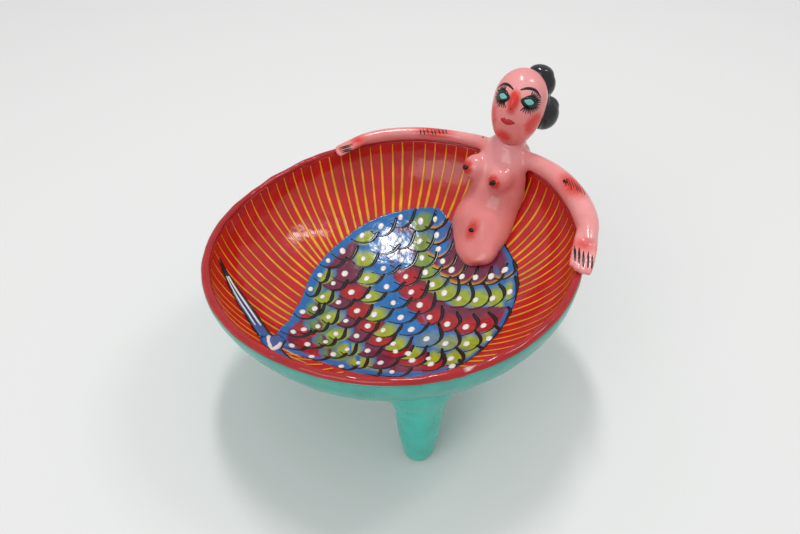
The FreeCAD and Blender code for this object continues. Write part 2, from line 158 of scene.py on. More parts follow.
def hand_made(point):
    """Where a point of the true bowl ends up on the hand-made one, in the bowl frame."""
    radius = math.hypot(point.x, point.y)
    if radius < MM:
        return point.copy()
    share = min(radius / RIM_RADIUS, 1.03)**3
    azimuth = math.atan2(point.y, point.x)
    grown = 1 + (rim_wander(azimuth) + arm_bulge(azimuth)) * share / radius
    moved = Vector((point.x * grown, point.y * grown, point.z))
    lump = noise.noise(point / LUMP_SIZE) + 0.4 * noise.noise(point * 2.3 / LUMP_SIZE)
    return moved + moved.normalized() * (lump * LUMP_HEIGHT)


# %% Places on the wall
# The wall stands upright at the rim, so nothing is placed on it beyond this share of its radius.
WALL_END = 0.9985


def on_wall(x, y, height=0.0):
    """A point on the hollow's wall from its plan place, and how far it stands off the wall."""
    radius = math.hypot(x, y)
    if radius > WALL_END * HOLLOW_RADIUS:
        x, y = (c * WALL_END * HOLLOW_RADIUS / radius for c in (x, y))
        radius = WALL_END * HOLLOW_RADIUS
    z = -HOLLOW_DEPTH * math.sqrt(1 - (radius / HOLLOW_RADIUS)**2)
    inward = -Vector((x / HOLLOW_RADIUS**2, y / HOLLOW_RADIUS**2, z / HOLLOW_DEPTH**2))
    return hand_made(Vector((x, y, z))) + inward.normalized() * height


# %% Flat paper
# Flat paper for strokes high on the wall keeps true distances along the wall from the bottom.
WALL_STEPS = 400
WALL_REACH = [HOLLOW_RADIUS * WALL_END * i / WALL_STEPS for i in range(WALL_STEPS + 1)]
WALL_HEIGHT = [-HOLLOW_DEPTH * math.sqrt(1 - (reach / HOLLOW_RADIUS)**2) for reach in WALL_REACH]
WALL_LENGTH = [0.0]
for i in range(WALL_STEPS):
    WALL_LENGTH.append(WALL_LENGTH[-1] + math.hypot(WALL_REACH[i + 1] - WALL_REACH[i],
                                                    WALL_HEIGHT[i + 1] - WALL_HEIGHT[i]))


def rolled_flat(x, y):
    """Where a plan place in millimetres lies on the flat paper of true distances."""
    radius = max(math.hypot(x, y), 0.01)
    length = float(np.interp(radius * MM, WALL_REACH, WALL_LENGTH)) / MM
    return x * length / radius, y * length / radius


def rolled_back(x, y):
    """The plan place of a point of that paper, in metres."""
    length = max(math.hypot(x, y), 0.01 * MM)
    radius = float(np.interp(length, WALL_LENGTH, WALL_REACH))
    return x * radius / length, y * radius / length


print("rim wander at 0, 90, 180, 270 degrees in mm:",
      [round(rim_wander(math.radians(a)) / MM, 2) for a in (0, 90, 180, 270)])

# %% [markdown]
# ## Working helpers
#
# Blender's operators act on whatever is selected. So each helper first selects exactly what it
# works on, does its job, and leaves that piece active. Painted strokes and limbs are drawn as
# curves, because a curve is smooth between a few points and can change its thickness at each.


# %% Selecting, adding and joining
def take(*objs):
    """Select these objects alone, the first one active."""
    bpy.ops.object.select_all(action="DESELECT")
    for obj in objs:
        obj.select_set(True)
    bpy.context.view_layer.objects.active = objs[0]
    return objs[0]


def added(operator, **settings):
    """Add a primitive while nothing else is selected, and return it."""
    bpy.ops.object.select_all(action="DESELECT")
    operator(**settings)
    return bpy.context.object


def apply_modifier(obj, kind, **settings):
    """Add a modifier, set it up and apply it."""
    take(obj)
    modifier = obj.modifiers.new(kind.lower(), kind)
    for key, value in settings.items():
        setattr(modifier, key, value)
    bpy.ops.object.modifier_apply(modifier=modifier.name)


def tidy_mesh(obj, distance=0.01 * MM):
    """Merge doubled points and turn every face outwards."""
    take(obj)
    bpy.ops.object.mode_set(mode="EDIT")
    bpy.ops.mesh.select_all(action="SELECT")
    bpy.ops.mesh.remove_doubles(threshold=distance)
    bpy.ops.mesh.normals_make_consistent(inside=False)
    bpy.ops.object.mode_set(mode="OBJECT")


def merged_copy(node):
    """A free copy of a frame node, with its loose triangles merged into one skin."""
    copy = frame["nodes"][node].copy()
    copy.data = frame["nodes"][node].data.copy()
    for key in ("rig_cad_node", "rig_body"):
        del copy[key]
    copy.parent = None
    bpy.context.scene.collection.objects.link(copy)
    tidy_mesh(copy)
    return copy


def join(name, objs):
    """Join several objects into one named piece."""
    whole = take(*objs)
    if len(objs) > 1:
        bpy.ops.object.join()
    whole.name = whole.data.name = name
    return whole


# %% Settling and finishing a piece
def settle(obj, matrix=BOWL):
    """Bring a mesh from the frame that it was modelled in to the row frame."""
    take(obj)
    bpy.ops.object.transform_apply(location=True, rotation=True, scale=True)
    obj.data.transform(matrix)
    obj.data.update()


def finish_piece(obj, materials, replaces=()):
    """Smooth shading, materials, the body it rides on; the frame nodes it replaces are hidden."""
    take(obj)
    bpy.ops.object.shade_smooth()
    if obj.data.materials:
        obj.data.materials.clear()
    for material in materials:
        obj.data.materials.append(material)
    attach(obj, "root")
    if replaces:
        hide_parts(*replaces)
    obj.data.calc_loop_triangles()
    print(f"{obj.name}: {len(obj.data.loop_triangles)} triangles")


# %% Moving and weighing points
def moved_by(obj, function):
    """Move every vertex of a mesh by a function of its place."""
    for vertex in obj.data.vertices:
        vertex.co = function(vertex.co)
    obj.data.update()


def weigh(obj, name, weight):
    """Fill a vertex group from a function of the place, and leave out what gets no weight."""
    group = obj.vertex_groups.new(name=name)
    for vertex in obj.data.vertices:
        share = weight(vertex.co)
        if share > 0:
            group.add([vertex.index], min(1, share), "REPLACE")


# %% Curves made into meshes
def new_curve(name, radius=0.0, resolution=0):
    """An empty curve in space; with a radius, a closed tube grows round its lines."""
    curve = bpy.data.curves.new(name, "CURVE")
    curve.dimensions = "3D"
    curve.bevel_depth = radius
    curve.bevel_resolution = resolution
    curve.use_fill_caps = radius > 0
    return curve


def add_line(curve, points, order, resolution):
    """A smooth line of (x, y, z, thickness) points in a curve, from its first to its last."""
    spline = curve.splines.new("NURBS")
    spline.points.add(len(points) - 1)
    for point, (x, y, z, thickness) in zip(spline.points, points):
        point.co = (x, y, z, 1)
        point.radius = thickness
    spline.order_u = min(order, len(points))
    spline.use_endpoint_u = True
    spline.resolution_u = resolution


def meshed(curve):
    """A mesh object made of a curve."""
    obj = bpy.data.objects.new(curve.name, curve)
    bpy.context.scene.collection.objects.link(obj)
    take(obj)
    bpy.ops.object.convert(target="MESH")
    return obj


# %% Shares and mixed colours
def clamped(share):
    """A share kept between 0 and 1."""
    return min(max(share, 0), 1)


def blended(first, second, share):
    """A mix of two colours."""
    share = clamped(share)
    return [a + (b - a) * share for a, b in zip(first, second)]


print("a share of 1.4 is kept at", clamped(1.4))

# %% [markdown]
# ## Paint under varnish
#
# The real bowl is painted with opaque colours and then varnished, so every colour has the same
# wet gloss. The paint's colour drifts a little, brush marks show in the varnish, and pasted paper
# gives it soft creases. One function makes such a paint from its colour; a painted area whose
# colours run into each other reads them from a colour attribute instead.


# %% Varnished paint
def srgb(code):
    """A colour written as a hex code, as Blender's linear red, green and blue."""
    parts = [int(code[i:i + 2], 16) / 255 for i in (1, 3, 5)]
    return tuple(c / 12.92 if c < 0.04045 else ((c + 0.055) / 1.055)**2.4 for c in parts)


def varnished(name, code=None, roughness=0.16, drift=0.12, crease=0.22, crease_size=7 * MM,
              brush=0.06, brush_size=1.1 * MM):
    """A glossy paint. With no colour code, it reads the mesh's own paint attribute."""
    material = bpy.data.materials.new(name)
    material.use_nodes = True
    nodes, links = material.node_tree.nodes, material.node_tree.links
    shader = nodes["Principled BSDF"]
    shader.inputs["Specular IOR Level"].default_value = 0.55
    place = nodes.new("ShaderNodeTexCoord").outputs["Object"]

    def noise_node(size, detail):
        """Noise whose spots are about this size."""
        node = nodes.new("ShaderNodeTexNoise")
        node.inputs["Scale"].default_value = 1 / size
        node.inputs["Detail"].default_value = detail
        links.new(place, node.inputs["Vector"])
        return node.outputs["Fac"]

    mix = nodes.new("ShaderNodeMix")
    mix.data_type = "RGBA"
    mix.blend_type = "MULTIPLY"
    mix.inputs["Factor"].default_value = 1
    if code:
        mix.inputs["A"].default_value = (*srgb(code), 1)
    else:
        paint = nodes.new("ShaderNodeAttribute")
        paint.attribute_name = "paint"
        links.new(paint.outputs["Color"], mix.inputs["A"])
    shade = nodes.new("ShaderNodeMapRange")
    shade.inputs["From Min"].default_value = 0.3
    shade.inputs["From Max"].default_value = 0.7
    shade.inputs["To Min"].default_value = 1 - drift
    shade.inputs["To Max"].default_value = 1 + drift / 2
    links.new(noise_node(9 * MM, 3), shade.inputs["Value"])
    links.new(shade.outputs["Result"], mix.inputs["B"])
    links.new(mix.outputs["Result"], shader.inputs["Base Color"])

    sheen = nodes.new("ShaderNodeMapRange")
    sheen.inputs["To Min"].default_value = roughness * 0.6
    sheen.inputs["To Max"].default_value = roughness * 1.5
    links.new(noise_node(5 * MM, 4), sheen.inputs["Value"])
    links.new(sheen.outputs["Result"], shader.inputs["Roughness"])

    below = None
    for strength, size, detail in ((crease, crease_size, 2), (brush, brush_size, 2)):
        bump = nodes.new("ShaderNodeBump")
        bump.inputs["Strength"].default_value = strength
        bump.inputs["Distance"].default_value = size / 6
        links.new(noise_node(size, detail), bump.inputs["Height"])
        if below:
            links.new(below, bump.inputs["Normal"])
        below = bump.outputs["Normal"]
    links.new(below, shader.inputs["Normal"])
    return material


crimson = varnished("crimson_varnish", "#bf1d1a")
lip_red = varnished("lip_red_varnish", crease=0.4, crease_size=5 * MM)
turquoise = varnished("turquoise_varnish", "#3fa394", roughness=0.22, drift=0.16)
foot_turquoise = varnished("foot_turquoise_varnish", "#38b8a6", roughness=0.24, drift=0.14)
tail_paint = varnished("tail_paint_varnish", crease=0.3, brush=0.12)
skin_paint = varnished("skin_varnish", drift=0.07, crease=0.16, crease_size=6 * MM)
hair_black = varnished("hair_varnish", "#1b1c20", roughness=0.14, crease=0.14)
line_black = varnished("black_line", "#0e0e10", roughness=0.2, crease=0.05)
dot_white = varnished("white_dot", "#f2f0ea", roughness=0.2, drift=0.05, crease=0.05)
ray_yellow = varnished("yellow_ray", "#eda31c", roughness=0.2, drift=0.3, crease=0.05)
fin_blue = varnished("fin_blue", "#2566a8", drift=0.2)
iris_green = varnished("iris_green", "#74c6bd", crease=0.05)
lip_paint = varnished("mouth_red", "#c2242e", crease=0.05)
print("paints:", len(bpy.data.materials))

# %% [markdown]
# ## The bowl's wall
#
# A bowl is laid up over a round mould, so it starts as a turned shape: one section line, spun once
# round the axis. The section runs up the hollow, over the edge and down the outside, where the
# wall thins towards the rim as pasted paper does. Then every point is moved by the hand-made
# function. Faces of the hollow are red, the others turquoise.


# %% Spin a section line
def turned(name, section, steps):
    """A closed form spun about Z from a section line of (radius, height) points."""
    line = new_curve(name)
    spline = line.splines.new("POLY")
    spline.points.add(len(section) - 1)
    for point, (radius, height) in zip(spline.points, section):
        point.co = (radius, 0, height, 1)
    obj = meshed(line)
    bpy.ops.object.mode_set(mode="EDIT")
    bpy.ops.mesh.select_all(action="SELECT")
    bpy.ops.mesh.spin(steps=steps, angle=2 * math.pi, center=(0, 0, 0), axis=(0, 0, 1))
    bpy.ops.object.mode_set(mode="OBJECT")
    tidy_mesh(obj)
    return obj


def wall_arc(radius, depth, count, top):
    """Quarter of an ellipse from the bottom's middle up to a height just under the rim."""
    reach = math.acos(top / depth)
    turns = [reach * i / count for i in range(count + 1)]
    return [(radius * math.sin(a), -depth * math.cos(a)) for a in turns]


# %% The wall
EDGE_THINNING = 0.75 * MM
THINNING_HEIGHT = 10 * MM
inside_line = wall_arc(HOLLOW_RADIUS, HOLLOW_DEPTH, 76, EDGE_RADIUS)
outside_line = wall_arc(RIM_RADIUS, BOWL_DEPTH, 60, EDGE_RADIUS)
outside_line = [(reach - EDGE_THINNING * max(0, 1 + height / THINNING_HEIGHT)**2, height)
                for reach, height in outside_line]
bowl_wall = turned("bowl_wall", inside_line + outside_line[::-1], 288)
for face in bowl_wall.data.polygons:
    middle = face.center
    level = math.hypot(math.hypot(middle.x, middle.y) / RIM_RADIUS, middle.z / BOWL_DEPTH)
    face.material_index = 0 if level < 1 - 0.5 * WALL / RIM_RADIUS else 1
moved_by(bowl_wall, hand_made)
settle(bowl_wall)
finish_piece(bowl_wall, [crimson, turquoise], ["bowl_shell"])

# %% [markdown]
# ## The lip
#
# A roll of paper covers the raw edge. It was smoothed flush with the wall and painted the same
# red, so only the wall's thickness shows. It is a torus pressed by fingers all the way round,
# whose thickness and height wander. Where the varnish chipped, pale paper shows.

# %% The lip
LIP_MIDDLE = RIM_RADIUS - (WALL + EDGE_THINNING) / 2
CHIP_AZIMUTH = math.radians(-70)
CHIP_SIZE = 1.6 * MM
CHIP_DEPTH = 0.3 * MM
lip = added(bpy.ops.mesh.primitive_torus_add, major_segments=420, minor_segments=24,
            major_radius=LIP_MIDDLE, minor_radius=EDGE_RADIUS, location=(0, 0, -EDGE_RADIUS))
lip.name = lip.data.name = "lip"
bpy.ops.object.transform_apply(location=True)


def pressed(point):
    """A point of the lip after the maker's fingers have pressed it."""
    core = Vector((point.x, point.y, 0)).normalized() * LIP_MIDDLE - UP * EDGE_RADIUS
    thick = 1 + 0.1 * noise.noise(core / (8 * MM)) + 0.06 * noise.noise(point / (3 * MM))
    rise = 0.7 * MM * noise.noise(core / (12 * MM) + Vector((7, 0, 0)))
    return hand_made(core + (point - core) * thick) + UP * rise


moved_by(lip, pressed)
chip = hand_made(Vector((math.cos(CHIP_AZIMUTH), math.sin(CHIP_AZIMUTH), 0)) * LIP_MIDDLE)
lip_colours = lip.data.color_attributes.new("paint", "FLOAT_COLOR", "POINT")
red, paper, shadow_red = srgb("#b31a1e"), srgb("#cfc3ba"), srgb("#8c1518")
for vertex, colour in zip(lip.data.vertices, lip_colours.data):
    grain = noise.noise(vertex.co / (0.9 * MM))
    chipped = (vertex.co - chip).length < CHIP_SIZE * (0.8 + 0.6 * grain)
    worn = 0.5 + 0.5 * noise.noise(vertex.co / (6 * MM))
    mixed = [a + (b - a) * 0.5 * worn for a, b in zip(red, shadow_red)]
    colour.color = (*(paper if chipped else mixed), 1)
    if chipped:
        vertex.co -= UP * CHIP_DEPTH
settle(lip)
finish_piece(lip, [lip_red], ["rim_roll"])

# %% [markdown]
# ## The feet
#
# Each foot is a stump of rolled paper, narrow at the table and flaring into a pad under the bowl.
# A cylinder cut into many rings is a good start: each ring gets the foot's radius at its height,
# and the heights are stretched so that the top always ends just inside the bowl's wall.

# %% The feet
# Height above the table and radius of a foot, in millimetres.
FOOT_STATIONS = [(0, 0.1), (0.5, 4.2), (1.6, 6.0), (3.5, 6.9), (8, 7.6), (17, 9.0), (27, 10.0),
                 (34, 10.7), (39, 11.8), (43, 13.8), (60, 16)]
FOOT_RINGS = 56
GRIP = 1.6 * MM


def foot_radius(height):
    """Radius of a foot at a height above the table, between its stations."""
    heights, radii = zip(*FOOT_STATIONS)
    return float(np.interp(height / MM, heights, radii)) * MM


def underside(x, y):
    """Height of the bowl's underside above the table, a little inside the wall."""
    local = Vector((x, y, 0)) - Vector((RIM_CENTRE.x, RIM_CENTRE.y, 0))
    radius = min(local.length, 0.97 * RIM_RADIUS)
    drop = BOWL_DEPTH * math.sqrt(1 - (radius / RIM_RADIUS)**2)
    return RIM_CENTRE.z + local.x * math.tan(LEAN) - drop + GRIP


def add_foot(node):
    """A lumpy foot where the frame has this node."""
    low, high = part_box(node)
    middle = (low + high) / 2
    foot = added(bpy.ops.mesh.primitive_cylinder_add, vertices=72, radius=1, depth=1,
                 location=(0, 0, 0.5))
    bpy.ops.object.transform_apply(location=True)
    bpy.ops.object.mode_set(mode="EDIT")
    for ring in range(1, FOOT_RINGS):
        share = (ring / FOOT_RINGS)**1.4
        bpy.ops.mesh.select_all(action="SELECT")
        bpy.ops.mesh.bisect(plane_co=(0, 0, share), plane_no=(0, 0, 1))
    bpy.ops.object.mode_set(mode="OBJECT")
    top = underside(middle.x, middle.y)

    def shaped(point):
        """A point of the unit cylinder on the foot."""
        radius = foot_radius(point.z * top)
        x, y = middle.x + point.x * radius, middle.y + point.y * radius
        lump = noise.noise(Vector((x, y, point.z * top)) / (9 * MM)) * 0.35 * MM * point.z
        return Vector((x + point.x * lump, y + point.y * lump, point.z * underside(x, y)))

    moved_by(foot, shaped)
    foot.name = foot.data.name = node + "_paper"
    finish_piece(foot, [foot_turquoise], [node])


for node in ("foot_front", "foot_right", "foot_left"):
    add_foot(node)

# %% [markdown]
# ## Brush strokes as thin raised paint
#
# The lines on the bowl are crisp brush strokes, so they are geometry, not texture: each one is a
# tapering tube drawn on flat paper as a curve, then wrapped onto its surface by a function that
# gives a place and an outward direction, with its height pressed flat. Its lower half lies in the
# surface, and its upper half is the thickness of the paint. A dot is a very short stroke.

# %% Strokes
PAINT_FLATNESS = 0.2


def strokes(name, lines, wrap, material, smooth=3):
    """Strokes of paint. Each line is a list of (x, y, half width) in millimetres on flat paper."""
    paper = new_curve(name, MM, 1)
    paper.twist_mode = "Z_UP"
    for line in lines:
        add_line(paper, [(x * MM, y * MM, 0, half) for x, y, half in line], 3, smooth)
    obj = meshed(paper)
    moved_by(obj, lambda point: wrap(point.x, point.y, point.z * PAINT_FLATNESS))
    tidy_mesh(obj, 0.002 * MM)
    finish_piece(obj, [material])


def wrap_wall(x, y, height):
    """Flat paper of true distances onto the bowl's hollow, in the row frame."""
    return BOWL @ on_wall(*rolled_back(x, y), height)


def wrap_tail(x, y, height):
    """Flat paper onto the painted tail, which is itself a thin coat on the hollow."""
    return BOWL @ on_wall(x, y, height + TAIL_COAT)


# %% [markdown]
# ## The tail's outline
#
# The tail fills the bottom of the bowl and narrows to a stalk at the left. Its outline is a few
# points round a centre; between them the distance from the centre follows a smooth curve.

# %% The outline round a centre
TAIL_COAT = 0.1 * MM
TAIL_CENTRE = Vector((2, 0))
TAIL_OUTLINE = [
    (56.3, 6), (53, 22), (46, 37), (27, 47), (21.5, 54.8), (3.4, 56.7), (-14.7, 51.5), (-31.7, 36.3),
    (-41.9, 18.1), (-45.3, -1.1), (-48.6, -17), (-52, -29.3), (-48, -39.5), (-30.6, -45),
    (-10, -52), (7, -53.5), (26, -48.7), (39.7, -36), (49.5, -21), (55.3, -5),
]
polar = sorted((math.atan2(y - TAIL_CENTRE.y, x - TAIL_CENTRE.x) % (2 * math.pi),
                math.hypot(x - TAIL_CENTRE.x, y - TAIL_CENTRE.y)) for x, y in TAIL_OUTLINE)


def tail_reach(turn):
    """Distance from the tail's centre to its outline at a direction, in millimetres."""
    turn %= 2 * math.pi
    count = len(polar)
    after = next((i for i, (angle, _) in enumerate(polar) if angle > turn), count)
    angles, reaches = [], []
    for i in range(after - 2, after + 2):
        angle, reach = polar[i % count]
        angles.append(angle + 2 * math.pi * (i // count))
        reaches.append(reach)
    # A cubic from one point to the next, which at both has the slope between its neighbours.
    share = (turn - angles[1]) / (angles[2] - angles[1])
    before, low, high, beyond = reaches
    bend_in, bend_out = (high - before) / 2, (beyond - low) / 2
    rise = high - low
    return (low + share * bend_in + share**2 * (3 * rise - 2 * bend_in - bend_out)
            + share**3 * (bend_in + bend_out - 2 * rise))


def inside_tail(x, y):
    """How far inside the outline a place is, in millimetres; negative outside."""
    offset = Vector((x, y)) - TAIL_CENTRE
    return tail_reach(math.atan2(offset.y, offset.x)) - offset.length


print("tail across, mm:", round(tail_reach(0) + tail_reach(math.pi), 1))

# %% [markdown]
# ## Rows of scales
#
# The scales run in staggered rows round the waist, from the upper left to the lower right. Three
# given points say where each row starts, bends and ends, with the number of its scales and
# its colour. The order goes from the waist to the stalk. Along a row the scales stand closer
# towards its end, and one that would crowd the scales of an earlier row is left out.

# %% The rows
BLUE, GREEN, LIME, RED, PLUM = (
    srgb(c) for c in ("#1f6cb0", "#6b8c3c", "#9aaa24", "#a81a1f", "#6c2340"))
ROWS = [
    ((19, 50), (26, 19), (50, 10), 9, PLUM),
    ((11.5, 50), (19, 8.5), (51, -5), 10, LIME),
    ((1, 53), (11.3, -4.5), (47, -22.5), 11, RED),
    ((-8.5, 49), (3.2, -13), (39, -33), 11, BLUE),
    ((-18.5, 43), (-4, -23.5), (32, -42), 11, LIME),
    ((-28.6, 33), (-11.4, -20), (23, -48.6), 10, RED),
    ((-35.1, 26), (-22.5, -15), (-2, -48.5), 8, PLUM),
    ((-38.5, 16.8), (-28.5, -21), (-11, -50), 7, LIME),
    ((-41.6, 6), (-35, -21), (-23.5, -46), 6, GREEN),
    ((-44.2, -10), (-41.5, -26), (-36.5, -41.5), 4, RED),
    ((-46.6, -25.5), (-46.6, -30.5), (-45.2, -36), 2, PLUM),
]
SCALE_GAP = 4.5
ROW_CROWDING = 0.18
ROW_STEPS = 60
Scale = namedtuple("Scale", "dot row share tint")
rng = random.Random(11)
scales = []


def bent(start, control, end, t):
    """A point of the curve from start to end that a control point bends."""
    return start * (1 - t)**2 + control * (2 * t * (1 - t)) + end * t**2


for row, (start, middle, end, count, tint) in enumerate(ROWS):
    start, middle, end = Vector(start), Vector(middle), Vector(end)
    control = middle * 2 - (start + end) / 2
    path = [bent(start, control, end, step / ROW_STEPS) for step in range(ROW_STEPS + 1)]
    run = [0.0]
    for before, after in zip(path, path[1:]):
        run.append(run[-1] + (after - before).length)
    for i in range(count):
        share = i / (count - 1)
        crowd = share * (1 + ROW_CROWDING * (1 - share))
        nearest = float(np.interp(crowd * run[-1], run, range(ROW_STEPS + 1))) / ROW_STEPS
        dot = bent(start, control, end, nearest)
        dot += Vector((rng.uniform(-0.5, 0.5), rng.uniform(-0.5, 0.5)))
        if all((dot - other.dot).length > SCALE_GAP for other in scales):
            scales.append(Scale(dot, row, share, tint))
print("scales:", len(scales))


# %% How a scale hangs
def hang(place):
    """The direction in which a scale hangs, and the direction to its right."""
    # All hang to the front of the bowl, and those at the front right lean outwards as well.
    front = clamped((10 - place.y) / 20)
    down = Vector((0.1 + 0.028 * front * max(place.x, 0), -1)).normalized()
    return down, Vector((-down.y, down.x))


print("the first scale hangs towards:", [round(c, 2) for c in hang(scales[0].dot)[0]])

# %% [markdown]
# ## The tail's coat of paint
#
# The coat is a grid rolled up into a disc, its edge on the outline and its columns running to the
# centre. Scales overlap like tiles, so each point takes the colour of the scale whose lower line
# comes next below it. The paint was rubbed cooler towards a scale's sides and above its dot, the
# scales at the waist glow yellow along their lines, and a blue band follows the outline. Then the
# disc is wrapped onto the wall and given a little thickness.

# %% Colours of the coat
dots_at = np.array([tuple(scale.dot) for scale in scales])
downs = np.array([tuple(hang(scale.dot)[0]) for scale in scales])
GLOW = srgb("#cf9418")
# Rows shaded with blue, where the others are shaded with plum.
BLUE_SHADED = (1, 3, 4, 7, 8)
# Scales that leave their row's colour: the row, the shares of it that they lie between, a colour.
EXCEPTIONS = [(2, -1, 0.22, BLUE), (5, -1, 0.22, PLUM), (0, -1, 0.3, BLUE), (0, 0.93, 2, BLUE),
              (1, -1, 0.4, blended(LIME, GREEN, 0.8))]
# In the blue row, the share from which the scales turn lime.
LIME_FROM = 0.62


def scale_colour(index, across, below, gap):
    """The paint of one scale at a place on it: to its right, below its dot, above its line."""
    _, row, share, tint = scales[index]
    for other_row, low, high, colour in EXCEPTIONS:
        if row == other_row and low < share < high:
            tint = colour
    if row == 3 and share > LIME_FROM:
        tint = blended(BLUE, LIME, (share - LIME_FROM) * 4)
    cool = BLUE if row in BLUE_SHADED else PLUM
    shade = blended(tint, cool, 0.85 * (abs(across - 0.8) - 3.3) / 3.5)
    shade = blended(shade, cool, 0.9 * (-below - 2.2) / 3.5)
    if row == 0:
        shade = blended(shade, GLOW, (2.6 - gap) / 2.2)
    streak = noise.noise(Vector((across * 0.5, below * 0.2, 3 * index)))
    return [c * (1.05 - 0.3 * streak) for c in shade]


# A scale's lower line: how far below its dot, how strongly bent, and how far to the right of it.
LINE_BELOW, LINE_BEND, LINE_SHIFT = 5.35, 0.118, 0.6
# How far a scale reaches to its left and right, and where its left end starts to fall behind.
LEFT_REACH, RIGHT_REACH, LEFT_END = -6.2, 8, -2.4
SOFT_EDGE = 0.7
BAND = 3.6


def coat_colour(x, y):
    """The tail's colour at a plan place: that of the scale whose line lies next below it."""
    offsets = np.array((x, y)) - dots_at
    below = (offsets * downs).sum(axis=1)
    across = offsets[:, 1] * downs[:, 0] - offsets[:, 0] * downs[:, 1]
    gaps = LINE_BELOW - LINE_BEND * (across - LINE_SHIFT)**2 - below
    # At its left end a scale lies under its neighbour, so it falls behind there.
    left_end = 0.6 * np.maximum(0, LEFT_END - across)**2
    # A scale that doesn't cover the place comes after all that do.
    covers = (gaps > -0.2) & (across < RIGHT_REACH) & (across > LEFT_REACH)
    rank = np.where(covers, gaps + left_end, 50 + np.hypot(*offsets.T))
    first, second = np.argsort(rank)[:2]
    colours = [scale_colour(i, across[i], below[i], gaps[i]) for i in (first, second)]
    lead = min(rank[first] / SOFT_EDGE, (rank[second] - rank[first]) / (2 * SOFT_EDGE))
    mixed = blended(colours[1], colours[0], 0.5 + lead)
    edge = inside_tail(x, y) + 1.2 * noise.noise(Vector((x, y, 5)) * 0.2)
    margin = BAND * (1.25 if x < 10 else 0.75)
    return blended(BLUE, mixed, (edge - margin + 1) / 1.6)


# %% The coat
ROUND, RINGS = 400, 104
tail = added(bpy.ops.mesh.primitive_grid_add, x_subdivisions=ROUND, y_subdivisions=RINGS, size=1,
             location=(0.5, 0.5, 0))
bpy.ops.object.transform_apply(location=True)


def rolled_up(point):
    """A point of the unit grid on the flat disc inside the outline, in metres."""
    turn = 2 * math.pi * point.x
    reach = tail_reach(turn) * max(point.y, 0)**0.9
    return Vector((TAIL_CENTRE.x + reach * math.cos(turn),
                   TAIL_CENTRE.y + reach * math.sin(turn), 0)) * MM


moved_by(tail, rolled_up)
tidy_mesh(tail)
tail_colours = tail.data.color_attributes.new("paint", "FLOAT_COLOR", "POINT")
for vertex, colour in zip(tail.data.vertices, tail_colours.data):
    colour.color = (*coat_colour(vertex.co.x / MM, vertex.co.y / MM), 1)
moved_by(tail, lambda point: on_wall(point.x, point.y, TAIL_COAT))
if sum(face.normal.z for face in tail.data.polygons) < 0:
    take(tail)
    bpy.ops.object.mode_set(mode="EDIT")
    bpy.ops.mesh.select_all(action="SELECT")
    bpy.ops.mesh.flip_normals()
    bpy.ops.object.mode_set(mode="OBJECT")
apply_modifier(tail, "SOLIDIFY", thickness=0.3 * MM, offset=-1)
tail.name = tail.data.name = "tail_coat"
settle(tail)
finish_piece(tail, [tail_paint])

# %% [markdown]
# ## Scale lines and dots
#
# Each scale hangs towards the front of the bowl and has one black stroke under it. The brush came
# down thick from the bottom of the scale at the upper right, went round under the dot, and thinned
# out at the next scale on the left. So the thick parts join into long wavy lines. The stroke is
# drawn for a scale whose upper right neighbour lies at its usual place, and stretched to where
# that neighbour really is. A white dot sits in the middle.

# %% Scale lines
LINE_HALF = 0.66
# The usual place of a scale's upper right neighbour: to its right and above it.
NEXT_RIGHT, NEXT_ABOVE = 6.9, 8.0
# Rows after this one have small scales.
LAST_FULL_ROW = 6
# The stroke after its first point: to the right of the dot, below it, and how hard it is pressed.
LINE_STEPS = [(7.5, -1.4, 1.35), (6.3, 1.4, 1.4), (4.6, 3.7, 1.25), (2.2, 5.1, 1.0),
              (-0.6, 5.3, 0.75), (-3.2, 4.4, 0.55), (-5.6, 2.2, 0.4)]
# No stroke comes nearer to the outline than this.
LINE_MARGIN = 0.4


def scale_line(scale):
    """The black stroke under one scale, in millimetres."""
    down, right = hang(scale.dot)
    # Of the scales up and to the right, the one nearest to the usual place is the neighbour.
    best, reach_right, reach_up = 1.2, NEXT_RIGHT, NEXT_ABOVE
    for other in scales:
        offset = other.dot - scale.dot
        across, above = offset.dot(right), -offset.dot(down)
        misfit = ((across - NEXT_RIGHT) / 4)**2 + ((above - 7.5) / 5)**2
        if 2.5 < across < 10.5 and 2 < above < 15 and misfit < best:
            best, reach_right, reach_up = misfit, across, above
    small = scale.row > LAST_FULL_ROW
    wide = min(max(reach_right / NEXT_RIGHT, 0.66), 1.1) * (0.82 if small else 1)
    tall = min(max(reach_up / NEXT_ABOVE, 0.75), 1.15) * (0.78 if small else 1)
    line = []
    for across, beyond, press in [(8.5, 4.6 - reach_up / tall, 0.8)] + LINE_STEPS:
        place = scale.dot + right * (across * wide) + down * (beyond * tall)
        place += Vector((rng.uniform(-0.2, 0.2), rng.uniform(-0.2, 0.2)))
        clear = inside_tail(*place)
        if clear < LINE_MARGIN:
            place = TAIL_CENTRE + (place - TAIL_CENTRE) * (
                1 - (LINE_MARGIN - clear) / (place - TAIL_CENTRE).length)
        line.append((place.x, place.y, LINE_HALF * press * rng.uniform(0.88, 1.12)))
    return line


strokes("scale_lines", [scale_line(scale) for scale in scales], wrap_tail, line_black,
        smooth=3)

# %% White dots
DOT = [(-1.25, 0.25), (-0.9, 1.0), (0.0, 1.12), (0.9, 1.0), (1.25, 0.25)]
DOT_MARGIN = 1.6
dots = []
for scale in scales:
    size = rng.uniform(1.25, 1.6) * (0.85 if scale.row > 5 else 1)
    down, right = hang(scale.dot)
    lean = (right * (2 * down.x + rng.uniform(-0.3, 0.5)) - down).normalized()
    if inside_tail(*scale.dot) >= DOT_MARGIN:
        dots.append([(*(scale.dot + lean * (step * size)), half * size) for step, half in DOT])
strokes("scale_dots", dots, wrap_tail, dot_white, smooth=2)
print("dots:", len(dots))

